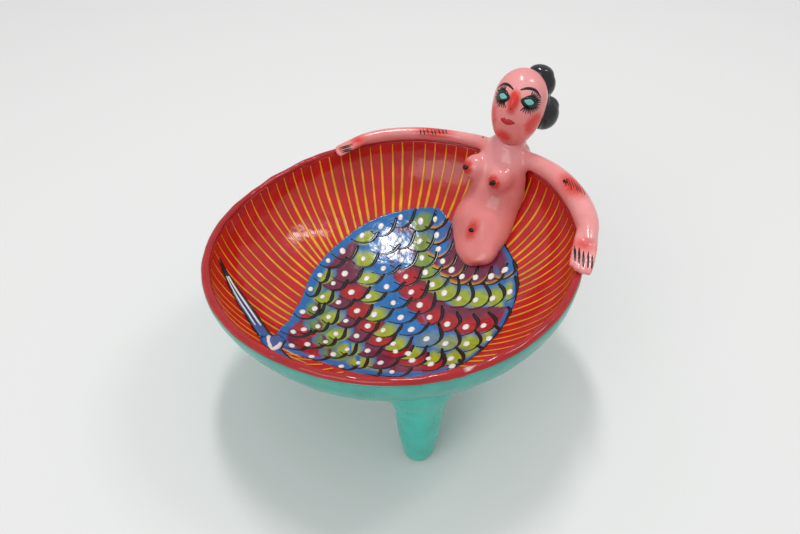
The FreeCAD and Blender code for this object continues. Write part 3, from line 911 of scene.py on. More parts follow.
# %% The outline's own black edge
EDGE_START, EDGE_SWEEP, EDGE_STEPS = -62, 92, 48
edge_line = []
for i in range(EDGE_STEPS + 1):
    turn = math.radians(EDGE_START + EDGE_SWEEP * i / EDGE_STEPS)
    reach = tail_reach(turn) - 0.3
    edge_line.append((TAIL_CENTRE.x + reach * math.cos(turn),
                      TAIL_CENTRE.y + reach * math.sin(turn), 0.3 + 0.12 * math.sin(i)))
strokes("tail_edge_line", [edge_line], wrap_tail, line_black, smooth=2)

# %% [markdown]
# ## Yellow rays
#
# Thin yellow rays run from the tail's outline up the wall and stop short of the lip. They are
# nearly square to the outline, lean over on the left as they near the fin, and lie almost along
# the rim beyond it. Each starts thick at the tail and ends in a thin tip. A few short strokes
# fill the corner between the fin, the tail and the front of the rim.

# %% The rays
RAY_COUNT = 88
RAY_START = -60
RAY_TIP_DEPTH = 1.9
LONGEST_RAY = 36
# Azimuth round the rim, and how far the ray's direction turns from straight outwards, in degrees.
RAY_TURNS = [(-60, 26), (-30, 17), (-4, 4), (20, 6), (67, -2), (92, -4), (125, -9), (150, -8),
             (160, -13), (170, -23), (180, -30), (192, -40), (208, -52), (235, -58), (262, -50),
             (285, -10), (300, 26)]
# How far down the ray, and how hard the brush is pressed there.
RAY_PRESSES = [(0, 0.35), (0.02, 0.55), (0.05, 0.7), (0.11, 0.85), (0.22, 1.0), (0.4, 0.95),
               (0.62, 1.1), (0.84, 1.25), (1, 1.1)]


def ray(azimuth):
    """One ray from its tip near the lip down to the tail's outline, on paper of true distances."""
    turn = float(np.interp(azimuth, *zip(*RAY_TURNS)))
    heading = math.radians(azimuth + turn)
    step = -Vector((math.cos(heading), math.sin(heading)))
    behind = 0.5 + 0.5 * math.cos(math.radians(azimuth - 95))
    depth = (RAY_TIP_DEPTH + 3.4 * (1 - behind)**2 + rng.uniform(0, 1.4)) * MM / HOLLOW_DEPTH
    tip_reach = HOLLOW_RADIUS / MM * math.sqrt(1 - depth**2)
    tip = Vector((math.cos(math.radians(azimuth)), math.sin(math.radians(azimuth)))) * tip_reach
    # Step down from the tip until the tail begins, or until the ray would climb over the lip again.
    length = 0
    while length < LONGEST_RAY and inside_tail(*(tip + step * length)) < 0.2:
        length += 0.5
        if length > 2 and (tip + step * length).length > tip_reach:
            break
    thick = rng.choice((0.42, 0.52, 0.62)) * (0.75 + 0.65 * behind)
    line = []
    for share, press in RAY_PRESSES:
        wander = rng.uniform(-0.12, 0.12)
        place = tip + step * (length * share)
        x, y = rolled_flat(place.x, place.y)
        line.append((x - step.y * wander, y + step.x * wander, thick * press))
    return line


rays = [ray(RAY_START + 360 * i / RAY_COUNT + rng.uniform(-0.5, 0.5)) for i in range(RAY_COUNT)]
SHORT_RAYS = [((-46.5, -44), (-41, -42)), ((-45, -47), (-36, -44)), ((-39.5, -50.5), (-31.5, -46)),
              ((-32, -52), (-27, -48)), ((-26.5, -53), (-22.5, -50.5))]
for start, end in SHORT_RAYS:
    middle = (Vector(start) + Vector(end)) / 2
    rays.append([(*rolled_flat(*start), 0.35), (*rolled_flat(*middle), 0.6),
                 (*rolled_flat(*end), 0.45)])
strokes("yellow_rays", rays, wrap_wall, ray_yellow, smooth=4)

# %% [markdown]
# ## The tail fin
#
# At the stalk's end a blue patch carries two long curved blades: one sweeps up the left wall to
# the lip, the other along the front wall. Each blade is one wide tapering stroke with a black
# line along both sides and down its middle, and two white streaks in it. Two more white strokes
# meet in a V on the patch.

# %% The fin
BLADE = [(-55.5, -35, 3.6), (-59.3, -28.6, 3.5), (-64.8, -20, 3.4), (-69.8, -12.6, 2.8),
         (-74, -6.8, 1.5), (-77.2, -1.5, 0.25)]
FRONT_BLADE = [(-50.5, -43.5, 3.2), (-45.5, -50, 2.8), (-38, -57.5, 2.3), (-29.5, -64, 1.7),
               (-22, -68.5, 1.0), (-15, -72, 0.25)]
PATCH = [(-49.5, -31.5, 2.6), (-53.2, -36.5, 5.6), (-52.2, -41.5, 5.2), (-49.5, -45, 2.2)]
PATCH_STREAKS = [[(-54.4, -33.4, 0.9), (-54.5, -38, 1.4), (-52.4, -43, 1.3), (-51.5, -45.7, 0.8)],
                 [(-49.6, -36.0, 0.9), (-50.0, -40, 1.45), (-50.9, -44, 1.3), (-51.5, -46.0, 0.7)]]
# How far the fin's paint stands off the wall, to lie over the rays, and its lines over that.
FIN_LIFT = 0.14 * MM
FIN_LINE_LIFT = 0.42 * MM


def wrap_fin(x, y, height):
    """Flat paper onto the wall, over the rays."""
    return wrap_wall(x, y, height * 0.5 + FIN_LIFT)


def wrap_fin_line(x, y, height):
    """Flat paper onto the wall, over the fin's blue."""
    return wrap_wall(x, y, height + FIN_LINE_LIFT)


def beside(line, share, half):
    """A thin stroke beside the middle of a wide one, at a share of its half width."""
    points = []
    for i, (x, y, wide) in enumerate(line):
        before, after = line[max(i - 1, 0)], line[min(i + 1, len(line) - 1)]
        ahead = Vector((after[0] - before[0], after[1] - before[1])).normalized()
        points.append((x - ahead.y * wide * share, y + ahead.x * wide * share, half))
    return points


def flat(line):
    """A stroke given in plan, on the paper of true distances."""
    return [(*rolled_flat(x, y), half) for x, y, half in line]


blades = [flat(BLADE), flat(FRONT_BLADE)]
strokes("fin_blue", blades + [flat(PATCH)], wrap_fin, fin_blue, smooth=6)
outlines = [beside(blade, side, 0.5) for blade in blades for side in (-0.98, 0.98)]
strokes("fin_outline", outlines, wrap_fin_line, line_black, smooth=5)
inner_lines = [beside(blade, 0.05, 0.26)[1:] for blade in blades]
strokes("fin_middle_line", inner_lines, wrap_fin_line, line_black, smooth=5)
streaks = []
for blade in blades:
    streaks += [beside(blade, -0.36, 0.7)[1:5], beside(blade, 0.46, 0.5)[1:5]]
streaks += [flat(line) for line in PATCH_STREAKS]
strokes("fin_streaks", streaks, wrap_fin_line, dot_white, smooth=4)

# %% [markdown]
# ## The figure's body
#
# Torso, neck, breasts, arms and hands were one wet mass of paste smoothed with the fingers. So
# copies of the frame's torso pieces are joined with arms and fingers drawn as thick curves, and
# one voxel remesh melts them together. A little smoothing then takes the seams away.


# %% Thick curves for limbs
def rim_point(azimuth, reach, height):
    """A place near the rim, in the row frame, from degrees and millimetres."""
    turn = math.radians(azimuth)
    reach += rim_wander(turn) / MM * 0.6
    return BOWL @ (Vector((math.cos(turn) * reach, math.sin(turn) * reach, height)) * MM)


def limb(name, points):
    """A tapering limb through (azimuth, distance from the axis, height, radius), in degrees, mm."""
    curve = new_curve(name, MM, 6)
    add_line(curve, [(*rim_point(azimuth, reach, height), radius)
                     for azimuth, reach, height, radius in points], 4, 10)
    return meshed(curve)


LEFT_ARM = [(49, 79, 1, 3.4), (43, 80.3, 2.6, 4.2), (36, 82, 3.6, 4.3), (28, 83.2, 4.4, 4.5),
            (20, 83.9, 4.5, 5.0), (10, 84.2, 4.3, 5.4), (1, 84.2, 4.2, 5.4), (-5, 83.6, 3.8, 4.7),
            (-10, 82.8, 3.0, 3.2)]
RIGHT_ARM = [(44, 78.5, 1, 3.4), (52, 79.5, 3.4, 3.8), (58, 80, 3, 3.4), (68, 80.5, 2.4, 3.0),
             (80, 80.6, 2.4, 3.2), (92, 80.4, 2.2, 3.4), (101, 79.6, 2, 3.3), (106, 78.6, 1.2, 2.4)]
limbs = [limb("left_arm", LEFT_ARM), limb("right_arm", RIGHT_ARM)]
for finger in range(4):
    spread = finger - 1.5
    limbs.append(limb(f"left_finger_{finger}", [
        (-4, 83.2 + 1.6 * spread, 3.8, 2.2), (-10, 82.0 + 2.2 * spread, 3.4 - 0.3 * spread, 2.0),
        (-16, 81.2 + 2.5 * spread, 2.5 - 0.8 * spread, 1.7),
        (-21.5 + 0.8 * abs(spread), 80.8 + 2.2 * spread, 1.2 - 1.0 * spread, 1.3)]))
    limbs.append(limb(f"right_finger_{finger}", [
        (99, 79.6 + 0.9 * spread, 2, 1.7), (104, 78.6 + 1.5 * spread, 1.6, 1.5),
        (109, 77.6 + 1.8 * spread, 0.6 + 0.3 * spread, 1.3),
        (113.5 - 0.5 * abs(spread), 76.8 + 1.6 * spread, -0.6 + 0.5 * spread, 1.0)]))
print("limbs and fingers:", len(limbs))

# %% Melt the body together
TORSO_NODES = ["torso", "neck", "breast_left", "breast_right"]
copies = [merged_copy(node) for node in TORSO_NODES]
# The breasts are smoothed much more, so that they flow out of the chest.
BREASTS = [(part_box(node)[0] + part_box(node)[1]) / 2 for node in TORSO_NODES[2:]]
body = join("figure_body", copies + limbs)
body.data.materials.clear()
apply_modifier(body, "REMESH", mode="VOXEL", voxel_size=0.62 * MM)
weigh(body, "chest", lambda point: (
    14 * MM - min((point - middle).length for middle in BREASTS)) / (4 * MM))
apply_modifier(body, "SMOOTH", factor=0.5, iterations=9)
apply_modifier(body, "SMOOTH", factor=0.5, iterations=60, vertex_group="chest")
print("body after the remesh:", len(body.data.vertices), "vertices")

# %% [markdown]
# ## The belly on the wall
#
# The lower end of the body is spread thin over the wall and ends in a low point beside the tail.
# Its near side is drawn in along the wall first. Then its edge is sunk into the wall, so that no
# gap shows under it, and the end is pressed almost flush. A last smoothing rounds what was moved.

# %% Draw in, sink and round the belly
TO_BOWL = BOWL.inverted()


def share_below(value, start, span):
    """0 where a value is above a start, and 1 from a span below it, both in millimetres."""
    return clamped((start * MM - value) / (span * MM))


def sunk(point):
    """Sink the body's thin edge into the wall, and press its lower end nearly flush with it."""
    local = TO_BOWL @ point
    radius = math.hypot(local.x, local.y)
    if radius > 0.97 * HOLLOW_RADIUS or local.z > -4 * MM:
        return point
    level = math.hypot(radius / HOLLOW_RADIUS, local.z / HOLLOW_DEPTH)
    outward = Vector((local.x / HOLLOW_RADIUS**2, local.y / HOLLOW_RADIUS**2,
                      local.z / HOLLOW_DEPTH**2))
    # The distance from the wall, then how deep to sink: most at the edge, and at the lower end.
    clear = (1 - level) * level / outward.length
    depth = 1.3 * MM * max(0, 1 - clear / (1.6 * MM))
    lower = share_below(local.dot(OUT), 56, 22)
    depth += 0.42 * lower * lower * (3 - 2 * lower) * max(clear, 0)
    return BOWL @ (local + outward.normalized() * depth)


def drawn_in(point):
    """Draw the belly's near side in, along the wall."""
    local = TO_BOWL @ point
    low = share_below(local.dot(OUT), 60, 14)
    near = share_below(local.x, 38, 12)
    if low == 0 or local.z > -8 * MM:
        return point
    # The near side moves to the right, and the low tip farther and less far back.
    tip = share_below(local.dot(OUT), 50, 9)
    moved = local + Vector((2.3 * near + 2.6 * tip, 1.2 - 1.6 * tip, 0)) * low * MM
    # The height changes as the wall's does, so the point stays as far from the wall as it was.
    levels = [HOLLOW_DEPTH * math.sqrt(max(1 - (place.x**2 + place.y**2) / HOLLOW_RADIUS**2, 0))
              for place in (local, moved)]
    moved.z += levels[0] - levels[1]
    return BOWL @ moved


def belly_weight(point):
    """How far a place of the body takes part in the last smoothing."""
    local = TO_BOWL @ point
    return (60 - local.dot(OUT) / MM) / 8 if local.z < -12 * MM else 0


moved_by(body, drawn_in)
moved_by(body, sunk)
weigh(body, "belly", belly_weight)
apply_modifier(body, "SMOOTH", factor=0.5, iterations=22, vertex_group="belly")
print("body's lowest point in mm:", round(min(v.co.z for v in body.data.vertices) / MM, 1))

# %% [markdown]
# ## Skin paint, blushes, painted sheen and painted shade
#
# The skin is salmon pink, with dabs of red rubbed in while wet: on elbows, wrists, navel and
# nipples. A paler pink on the arms, shoulders, neck, upper chest and forehead is painted sheen,
# where light falls on them from above, and a darker red under the breasts and the chin is painted
# shade. Each dab is a place, a size along three directions and a strength, and the colour fades
# out towards its edge. The same function paints body and head.

# %% Rubbed-in colour, painted sheen and painted shade
# The second colour is a paler pink, painted sheen where light falls on upward faces; the last is a
# darker red, painted shade under the breasts and the chin.
SKIN, PAINTED_SHEEN, BLUSH, PAINTED_SHADE = (
    srgb(c) for c in ("#e88a86", "#f2a7a6", "#da3526", "#b5504d"))


def rim_axes(azimuth):
    """Along the rim, outwards and up at an azimuth, in the row frame."""
    turn = math.radians(azimuth)
    turn_matrix = BOWL.to_3x3()
    return (turn_matrix @ Vector((-math.sin(turn), math.cos(turn), 0)),
            turn_matrix @ Vector((math.cos(turn), math.sin(turn), 0)), turn_matrix @ UP)


FIGURE_AXES = tuple(BOWL.to_3x3() @ axis for axis in (SIDE, OUT, UP))
NIPPLES = {side: figure_point(*place) for side, place in (
    ("left", (61.3, -6.2, -2.3)), ("right", (61.8, 11.1, -0.9)))}
NAVEL = figure_point(47.7, -4.8, -23.6)


def dab(middle, axes, sizes, colour, strength, hard=0.25):
    """A red dab, or painted sheen or shade: where, on which axes, how large in mm, how it fades."""
    return middle, axes, [size * MM for size in sizes], colour, strength, hard


def paint_skin(obj, dabs, base=SKIN):
    """Write skin colour, red dabs and painted sheen and shade to the mesh's paint attribute."""
    attribute = obj.data.color_attributes.new("paint", "FLOAT_COLOR", "POINT")
    for vertex, colour in zip(obj.data.vertices, attribute.data):
        tone = base
        grain = 0.12 * noise.noise(vertex.co / (1.4 * MM))
        for middle, axes, sizes, tint, strength, hard in dabs:
            offset = vertex.co - middle
            reach = math.sqrt(sum((offset.dot(a) / s)**2 for a, s in zip(axes, sizes))) + grain
            fade = clamped((1 - reach) / (1 - hard))
            tone = blended(tone, tint, strength * fade)
        colour.color = (*tone, 1)


# Painted sheen: paler pink along the tops of both arms, where light falls on them.
body_dabs = [dab(rim_point(azimuth, 84, 6), rim_axes(azimuth), (24, 9, 8), PAINTED_SHEEN, 0.8, 0.3)
             for azimuth in (-14, 8, 30, 62, 84, 106)]
body_dabs += [
    # Painted highlight: paler pink on the neck, shoulders and upper chest.
    dab(BOWL @ figure_point(75, -4, 9), FIGURE_AXES, (16, 14, 14), PAINTED_SHEEN, 1.0, 0),
    dab(BOWL @ figure_point(68, 2, 0), FIGURE_AXES, (13, 12, 10), PAINTED_SHEEN, 0.7, 0),
    dab(rim_point(13.5, 83.4, 8.6), rim_axes(13.5), (12.5, 6.5, 6), BLUSH, 1.0, 0.4),
    dab(rim_point(-12, 81, 6), rim_axes(-12), (5, 8, 6), BLUSH, 0.95, 0.1),
    dab(rim_point(75.5, 78.4, 4.6), rim_axes(75.5), (14, 5, 3.6), BLUSH, 1.0, 0.3),
    dab(rim_point(104, 77, 3.4), rim_axes(104), (6, 5, 5), BLUSH, 0.95, 0.1),
    dab(BOWL @ NAVEL, FIGURE_AXES, (4.4, 9, 6.2), BLUSH, 0.95, 0.4),
    dab(BOWL @ figure_point(40.3, -14, -34.5), FIGURE_AXES, (9, 5, 2.6), BLUSH, 0.7, 0),
    # Painted shade: darker red under the two breasts.
    dab(BOWL @ figure_point(63, -7, -11), FIGURE_AXES, (10, 8, 6), PAINTED_SHADE, 0.55, 0),
    dab(BOWL @ figure_point(63, 8, -12), FIGURE_AXES, (9, 8, 5), PAINTED_SHADE, 0.4, 0),
]
for side in NIPPLES:
    body_dabs.append(dab(BOWL @ NIPPLES[side], FIGURE_AXES, (4.7, 4.7, 4.7), BLUSH, 0.95, 0.6))
paint_skin(body, body_dabs)
finish_piece(body, [skin_paint],
             TORSO_NODES + ["arm_left", "arm_right", "hand_left", "hand_right"])

# %% [markdown]
# ## The head
#
# The head is an egg of paste that leans back. A sphere is stretched into the egg, a long nose is
# raised on its front, and the lower face is drawn in slightly.

# %% The egg and its nose
HEAD_RADIUS, HEAD_CROWN, HEAD_CHIN = 12.5 * MM, 14.5 * MM, 22 * MM
NOSE_WIDTH, NOSE_HEIGHT, NOSE_RISE, NOSE_Z = 2.9 * MM, 6.2 * MM, 3.2 * MM, -0.4 * MM
HEAD = BOWL @ Matrix.Translation(figure_point(84.5, -3.3, 27.6)) @ (
    Matrix.Rotation(math.radians(-24), 4, "Z") @ Matrix.Rotation(math.radians(-27), 4, "X")
    @ Matrix.Rotation(math.radians(5), 4, "Y") @ Matrix.Translation((-1.1 * MM, 0, 3 * MM)))


def head_radius(z):
    """Radius of the egg at a height."""
    if z > 0:
        return HEAD_RADIUS * math.sqrt(max(1 - (z / HEAD_CROWN)**2, 0))
    return HEAD_RADIUS * math.sqrt(max(1 - (-z / HEAD_CHIN)**2.3, 0))


def nose_rise(x, z):
    """How far the nose stands off the face."""
    down = (z - NOSE_Z) / NOSE_HEIGHT
    ridge = math.exp(-2.2 * (x / NOSE_WIDTH)**2)
    profile = max(0, 1 - abs(down)**2.4) * (0.62 - 0.38 * down)
    return NOSE_RISE * ridge * max(profile, 0)


def egg_shaped(point):
    """A point of the unit sphere on the head."""
    z = point.z * (HEAD_CROWN if point.z > 0 else HEAD_CHIN)
    across = math.hypot(point.x, point.y)
    radius = head_radius(z) / max(across, 1e-6) if across > 1e-5 else 0
    x, y = point.x * radius, point.y * radius
    if y < 0:
        y -= nose_rise(x, z)
    lump = 1 + 0.004 * noise.noise(point * 2)
    return Vector((x * lump, y * lump, z * lump))


head = added(bpy.ops.mesh.primitive_uv_sphere_add, segments=160, ring_count=110, radius=1)
head.name = head.data.name = "head_egg"
moved_by(head, egg_shaped)
print("chin to crown in mm:", round((HEAD_CHIN + HEAD_CROWN) / MM, 1))

# %% Places on the face, and the head's paint
AXES = (Vector((1, 0, 0)), Vector((0, 1, 0)), Vector((0, 0, 1)))


def face_point(side, up, height=0.0):
    """A place on the face in the head's frame: round the egg from its front, and up it."""
    radius = head_radius(up)
    turn = side / max(HEAD_RADIUS * 0.6, radius)
    middle = Vector((radius * math.sin(turn), -radius * math.cos(turn), up))
    facing = Vector((math.sin(turn), -math.cos(turn), 0.35 * up / HEAD_CHIN)).normalized()
    return middle - AXES[1] * nose_rise(middle.x, up) + facing * height


head_dabs = [
    # Painted sheen: paler pink on the forehead, which faces up into the light.
    dab(face_point(2 * MM, 7 * MM), AXES, (15, 13, 15), PAINTED_SHEEN, 0.9, 0),
    dab(face_point(13.6 * MM, -9.1 * MM), AXES, (5.4, 7, 7.2), BLUSH, 1.0, 0.6),
    dab(face_point(-12 * MM, -8.9 * MM), AXES, (5, 7, 6.4), BLUSH, 1.0, 0.45),
    dab(face_point(-1.6 * MM, -17.6 * MM), AXES, (5.6, 5.6, 4.2), BLUSH, 0.95, 0.35),
    dab(face_point(0, -0.6 * MM), AXES, (3.7, 9, 6.8), BLUSH, 1.0, 0.55),
    # Painted shade: darker red under the chin.
    dab(Vector((0, -3 * MM, -21.6 * MM)), AXES, (9, 9, 4), PAINTED_SHADE, 0.7, 0),
]
paint_skin(head, head_dabs)
settle(head, HEAD)
finish_piece(head, [skin_paint], ["head", "nose"])

# %% [markdown]
# ## The painted face
#
# Large eyes, thin brows and a small mouth, painted with a fine brush. The strokes are drawn on
# flat paper whose middle is the nose line, and wrapped round the egg. One eye and one brow are
# given as points to the side and up; the other ones mirror them and sit a little lower.

# %% Eyes, brows and mouth
# How far the first coat stands off the head's uneven skin, and the irises over that coat.
FACE_LIFT = 0.08 * MM
OVER_LIFT = 0.22 * MM


def wrap_face(x, y, height):
    """Flat paper round the front of the head, in the row frame."""
    return HEAD @ face_point(x, y, height * 0.5 + FACE_LIFT)


def wrap_over(x, y, height):
    """Flat paper round the head, over a first coat of paint."""
    return HEAD @ face_point(x, y, height * 0.5 + OVER_LIFT)


EYE_SIDE, EYE_UP = 6.5, 0.5
EYE_RING = [(-4.0, 0.2, 0.5), (-2.6, 0, 2.0), (-0.8, 0, 3.1), (1.2, 0, 3.1), (3.0, -0.2, 2.2),
            (3.9, -0.3, 0.8)]
IRIS = [(-2.4, 0.3, 0.3), (-0.9, 0.1, 2.0), (0.8, -0.1, 2.0), (2.4, -0.1, 0.3)]
BROW = [(1.6, 4.9, 0.3), (3.5, 6.1, 0.6), (6.8, 6.5, 0.65), (9.8, 5.5, 0.5), (12.4, 3.4, 0.15)]
LASHES, LASH_START, LASH_SWEEP = 19, -118, 208
rings, irises, lashes, brows = [], [], [], []
for side in (1, -1):
    middle = Vector((side * EYE_SIDE + 0.6, EYE_UP - 0.15 * (1 - side)))
    rings.append([(middle.x + side * x, middle.y + y, half) for x, y, half in EYE_RING])
    irises.append([(middle.x + x, middle.y + y, half) for x, y, half in IRIS])
    for lash in range(LASHES):
        turn = math.radians(LASH_START + LASH_SWEEP * lash / (LASHES - 1))
        ahead = Vector((side * math.cos(turn), math.sin(turn)))
        base = middle + Vector((ahead.x * 2.9, ahead.y * 2.6))
        tip = middle + Vector((ahead.x * 6.5, ahead.y * 5.3)) + Vector((0, rng.uniform(-0.4, 0.3)))
        lashes.append([(*base, 0.42), (*((base + tip) / 2), 0.34), (*tip, 0.14)])
    sag = 0.35 * (1 - side)
    brows.append([(side * x, y - sag, half) for x, y, half in BROW])
strokes("eye_rings", rings, wrap_face, line_black, smooth=6)
strokes("eye_lashes", lashes, wrap_face, line_black, smooth=2)
strokes("eyebrows", brows, wrap_face, line_black, smooth=5)
strokes("irises", irises, wrap_over, iris_green, smooth=5)
mouth = [[(-4.2, -9.9, 0.25), (-2.8, -9.7, 1.0), (-0.9, -10.1, 0.9), (1.0, -9.9, 1.0),
          (3.0, -10.2, 0.25)],
         [(-3.9, -10.1, 0.3), (-2.2, -10.8, 0.85), (0.6, -10.9, 0.8), (2.7, -10.3, 0.25)]]
strokes("mouth", mouth, wrap_face, lip_paint, smooth=5)

# %% [markdown]
# ## The hair
#
# Her black hair is a cap on the back of the head with two coiled knots. The cap is the frame's own
# cap, drawn closer to the head. Each knot is a large ball with a smaller one on it. A voxel remesh
# and a little smoothing melt them into one lump of paste.

# %% Hair cap and knots
cap = merged_copy("hair_cap")
SHRUNK = Matrix.Translation((0, 2.5 * MM, 0.2 * MM)) @ Matrix.Diagonal((0.84, 0.94, 0.85, 1))
cap.data.transform(HEAD @ SHRUNK @ HEAD.inverted())
hair = [cap]
TOPKNOT = [((4.3, 9.2, 12.9), (6.3, 6, 4.6)), ((7.0, 9.8, 8.6), (5.3, 5.6, 6.4))]
BUN = [((10.0, 12, -4.4), (7.3, 7.3, 7.9)), ((10.6, 13.4, -0.6), (5.6, 5.2, 4.8))]
for place, sizes in TOPKNOT + BUN:
    ball = added(bpy.ops.mesh.primitive_uv_sphere_add, segments=64, ring_count=40, radius=1)
    ball.scale = Vector(sizes) * MM
    ball.location = Vector(place) * MM
    settle(ball, HEAD)
    hair.append(ball)
hair = join("hair", hair)
hair.data.materials.clear()
apply_modifier(hair, "REMESH", mode="VOXEL", voxel_size=0.55 * MM)
apply_modifier(hair, "SMOOTH", factor=0.5, iterations=5)
finish_piece(hair, [hair_black], ["hair_cap", "hair_topknot", "hair_bun"])

# %% [markdown]
# ## Strokes on the body
#
# The nipples, the navel, the elbow creases and the gaps between the fingers are black dabs. They
# were painted from the front, so each is drawn on a small flat paper that faces the front of the
# bowl, held in front of its place, and pressed straight onto the body. The nipples stand up as
# small knobs.

# %% Paper pressed onto the body
body_tree = BVHTree.FromObject(body, bpy.context.evaluated_depsgraph_get())
PAPER_TILT = math.radians(42)
PAPER_RIGHT = Vector((1, 0, 0))
PAPER_UP = Vector((0, math.sin(PAPER_TILT), math.cos(PAPER_TILT)))
PAPER_FACING = PAPER_RIGHT.cross(PAPER_UP)
PAPER_AHEAD = 9
FARTHEST_HIT = 5 * MM


def pressed_onto(middle, lift=1.0):
    """A wrap that casts flat paper at a place straight onto the body."""
    def wrap(x, y, height):
        """Where a point of the paper lands; the nearest skin where the cast goes past it."""
        target = middle + PAPER_RIGHT * x + PAPER_UP * y
        start = target + PAPER_FACING * PAPER_AHEAD * MM
        place, normal, _, _ = body_tree.ray_cast(start, -PAPER_FACING)
        if place is None or (place - target).length > FARTHEST_HIT:
            place, normal, _, _ = body_tree.find_nearest(target)
        return place + normal * height * lift

    return wrap


def hatch(name, middle, spacing, length, half, count):
    """Short black strokes side by side; spacing and length are (across, up) in millimetres."""
    lines = []
    step, reach = Vector(spacing), Vector(length) / 2
    for i in range(count):
        here = step * (i - (count - 1) / 2) + Vector((rng.uniform(-0.2, 0.2), rng.uniform(-0.4, 0.4)))
        ahead = reach * rng.uniform(0.75, 1.2)
        lines.append([(*(here - ahead), half * 0.4), (*(here - ahead * 0.4), half), (*here, half),
                      (*(here + ahead * 0.5), half * 0.9), (*(here + ahead), half * 0.35)])
    strokes(name, lines, pressed_onto(middle), line_black, smooth=2)


hatch("left_elbow_lines", rim_point(13.2, 83.0, 9.6), (0.95, -0.95), (0.2, -5.2), 0.22, 9)
hatch("right_elbow_lines", rim_point(75.5, 79, 4.2), (1.9, -0.05), (0.7, -2.9), 0.38, 8)
hatch("left_finger_lines", rim_point(-17, 81.5, 3.7), (1.75, -0.9), (-1.2, -6.2), 0.55, 5)
hatch("right_finger_lines", rim_point(109.3, 75.6, 1.2), (0.3, -0.95), (6.2, 1.9), 0.4, 4)
KNOB_LIFT = 3.5
KNOB = [[(-1.2, 0, 0.6), (-0.5, 0, 1.35), (0.5, 0, 1.35), (1.2, 0, 0.6)]]
for side, place in NIPPLES.items():
    strokes(f"nipple_{side}", KNOB, pressed_onto(BOWL @ place, KNOB_LIFT), line_black,
            smooth=4)
strokes("navel_dot", [[(-1.2, 0.4, 0.5), (-0.3, 0, 1.2), (0.6, -0.1, 1.1), (1.2, 0.3, 0.4)]],
        pressed_onto(BOWL @ NAVEL), line_black, smooth=4)
strokes("shoulder_speck", [[(-0.5, 0, 0.3), (0, 0, 0.45), (0.5, 0.1, 0.3)]],
        pressed_onto(rim_point(56.4, 79.5, 6.4)), line_black, smooth=2)

# %% [markdown]
# ## What stays from the frame
#
# The foot sticks and the armature wires are hidden inside the paper, and their turned shapes are
# right. They keep their CAD meshes and get bare wood and steel.


# %% Wood and steel
def plain_material(name, code, roughness, metallic, grain_size):
    """A bare material with a fine grain in its colour and roughness."""
    material = bpy.data.materials.new(name)
    material.use_nodes = True
    nodes, links = material.node_tree.nodes, material.node_tree.links
    shader = nodes["Principled BSDF"]
    shader.inputs["Metallic"].default_value = metallic
    grain = nodes.new("ShaderNodeTexNoise")
    grain.inputs["Scale"].default_value = 1 / grain_size
    place = nodes.new("ShaderNodeTexCoord")
    links.new(place.outputs["Object"], grain.inputs["Vector"])
    ramp = nodes.new("ShaderNodeValToRGB")
    ramp.color_ramp.elements[0].color = (*(c * 0.6 for c in srgb(code)), 1)
    ramp.color_ramp.elements[1].color = (*srgb(code), 1)
    links.new(grain.outputs["Fac"], ramp.inputs["Fac"])
    links.new(ramp.outputs["Color"], shader.inputs["Base Color"])
    spread = nodes.new("ShaderNodeMapRange")
    spread.inputs["To Min"].default_value = roughness * 0.8
    spread.inputs["To Max"].default_value = roughness * 1.2
    links.new(grain.outputs["Fac"], spread.inputs["Value"])
    links.new(spread.outputs["Result"], shader.inputs["Roughness"])
    return material


stick_wood = plain_material("stick_wood", "#c9a06a", 0.7, 0.0, 1.5 * MM)
wire_steel = plain_material("wire_steel", "#9a9da0", 0.35, 1.0, 0.6 * MM)
for node, material in (("foot_sticks", stick_wood), ("neck_wire", wire_steel),
                       ("left_arm_wire", wire_steel), ("right_arm_wire", wire_steel)):
    frame["nodes"][node].data.materials.clear()
    frame["nodes"][node].data.materials.append(material)

# %% [markdown]
# ## Table, light and camera
#
# One wide pale floor is all that surrounds the bowl. Two soft lamps overhead give the bright spots
# that varnish shows, a wide window fills in from the front left, and the world lights the rest.
# The camera looks down into the bowl from in front, at arm's length.

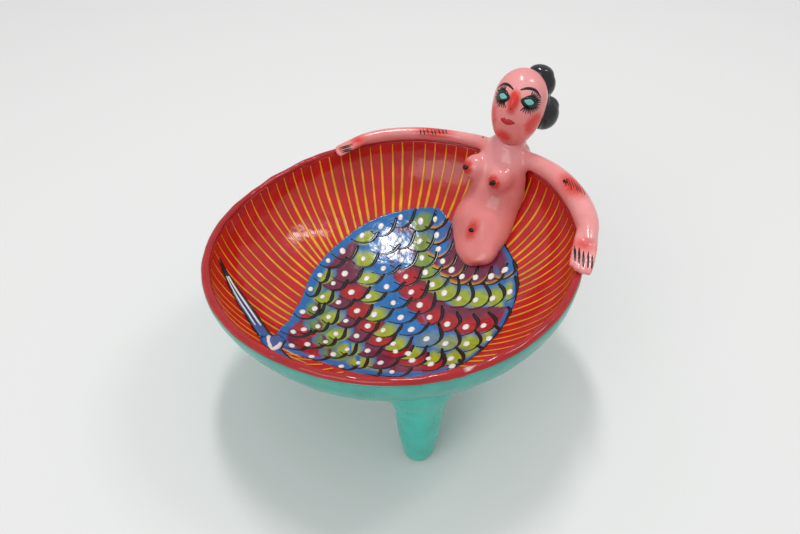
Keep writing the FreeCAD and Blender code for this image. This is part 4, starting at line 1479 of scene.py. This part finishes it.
# %% Floor
FLOOR_SIZE = 8.0
floor = added(bpy.ops.mesh.primitive_plane_add, size=FLOOR_SIZE, location=(0, 0, 0))
floor.name = "floor"
pale = bpy.data.materials.new("pale_table")
pale.use_nodes = True
pale.node_tree.nodes["Principled BSDF"].inputs["Base Color"].default_value = (0.82, 0.81, 0.79, 1)
pale.node_tree.nodes["Principled BSDF"].inputs["Roughness"].default_value = 0.6
floor.data.materials.append(pale)
floor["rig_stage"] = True

# %% World and lamps
world = bpy.data.worlds.new("studio")
bpy.context.scene.world = world
world.use_nodes = True
world.node_tree.nodes["Background"].inputs["Color"].default_value = (0.95, 0.97, 1, 1)
world.node_tree.nodes["Background"].inputs["Strength"].default_value = 0.6


def add_lamp(name, azimuth, elevation, distance, size, watts):
    """A soft square lamp that looks at the bowl from a direction, degrees from +X and up."""
    turn, rise = math.radians(azimuth), math.radians(elevation)
    away = Vector((math.cos(turn) * math.cos(rise), math.sin(turn) * math.cos(rise),
                   math.sin(rise)))
    lamp = added(bpy.ops.object.light_add, type="AREA", location=RIM_CENTRE + away * distance)
    lamp.name = name
    lamp.data.shape = "RECTANGLE"
    lamp.data.size, lamp.data.size_y = size
    lamp.data.energy = watts
    lamp.rotation_euler = away.to_track_quat("Z", "Y").to_euler()


add_lamp("ceiling_lamp", 98, 74, 1.1, (0.09, 0.3), 3.6)
add_lamp("second_lamp", 16, 56, 1.2, (0.12, 0.3), 1.8)
add_lamp("window", 235, 34, 1.4, (1.0, 0.8), 5)

# %% Camera
VIEW_DOWN = math.radians(41.95)
VIEW_DISTANCE = 300.3 * MM
LOOK_AT = RIM_CENTRE + Vector((2.7, -20.24, 0)) * MM
toward_viewer = Vector((0, -math.cos(VIEW_DOWN), math.sin(VIEW_DOWN)))
camera = bpy.data.objects.new("camera", bpy.data.cameras.new("camera"))
bpy.context.scene.collection.objects.link(camera)
camera.location = LOOK_AT + toward_viewer * VIEW_DISTANCE
camera.rotation_euler = toward_viewer.to_track_quat("Z", "Y").to_euler()
camera.data.sensor_width = 36
camera.data.lens = 32.4
camera.data.clip_start = 0.01
bpy.context.scene.camera = camera
bpy.context.scene.view_settings.view_transform = "Standard"

# %% [markdown]
# ## Size
#
# The box of the frame and the box of the finished looks are printed side by side.

# %% Write the sizes and finish
VISUAL_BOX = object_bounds()
for label, (low, high) in (("CAD", CAD_BOX), ("visual", VISUAL_BOX)):
    print(label, "box in mm:", [round(c / MM, 1) for c in (*low, *high)])
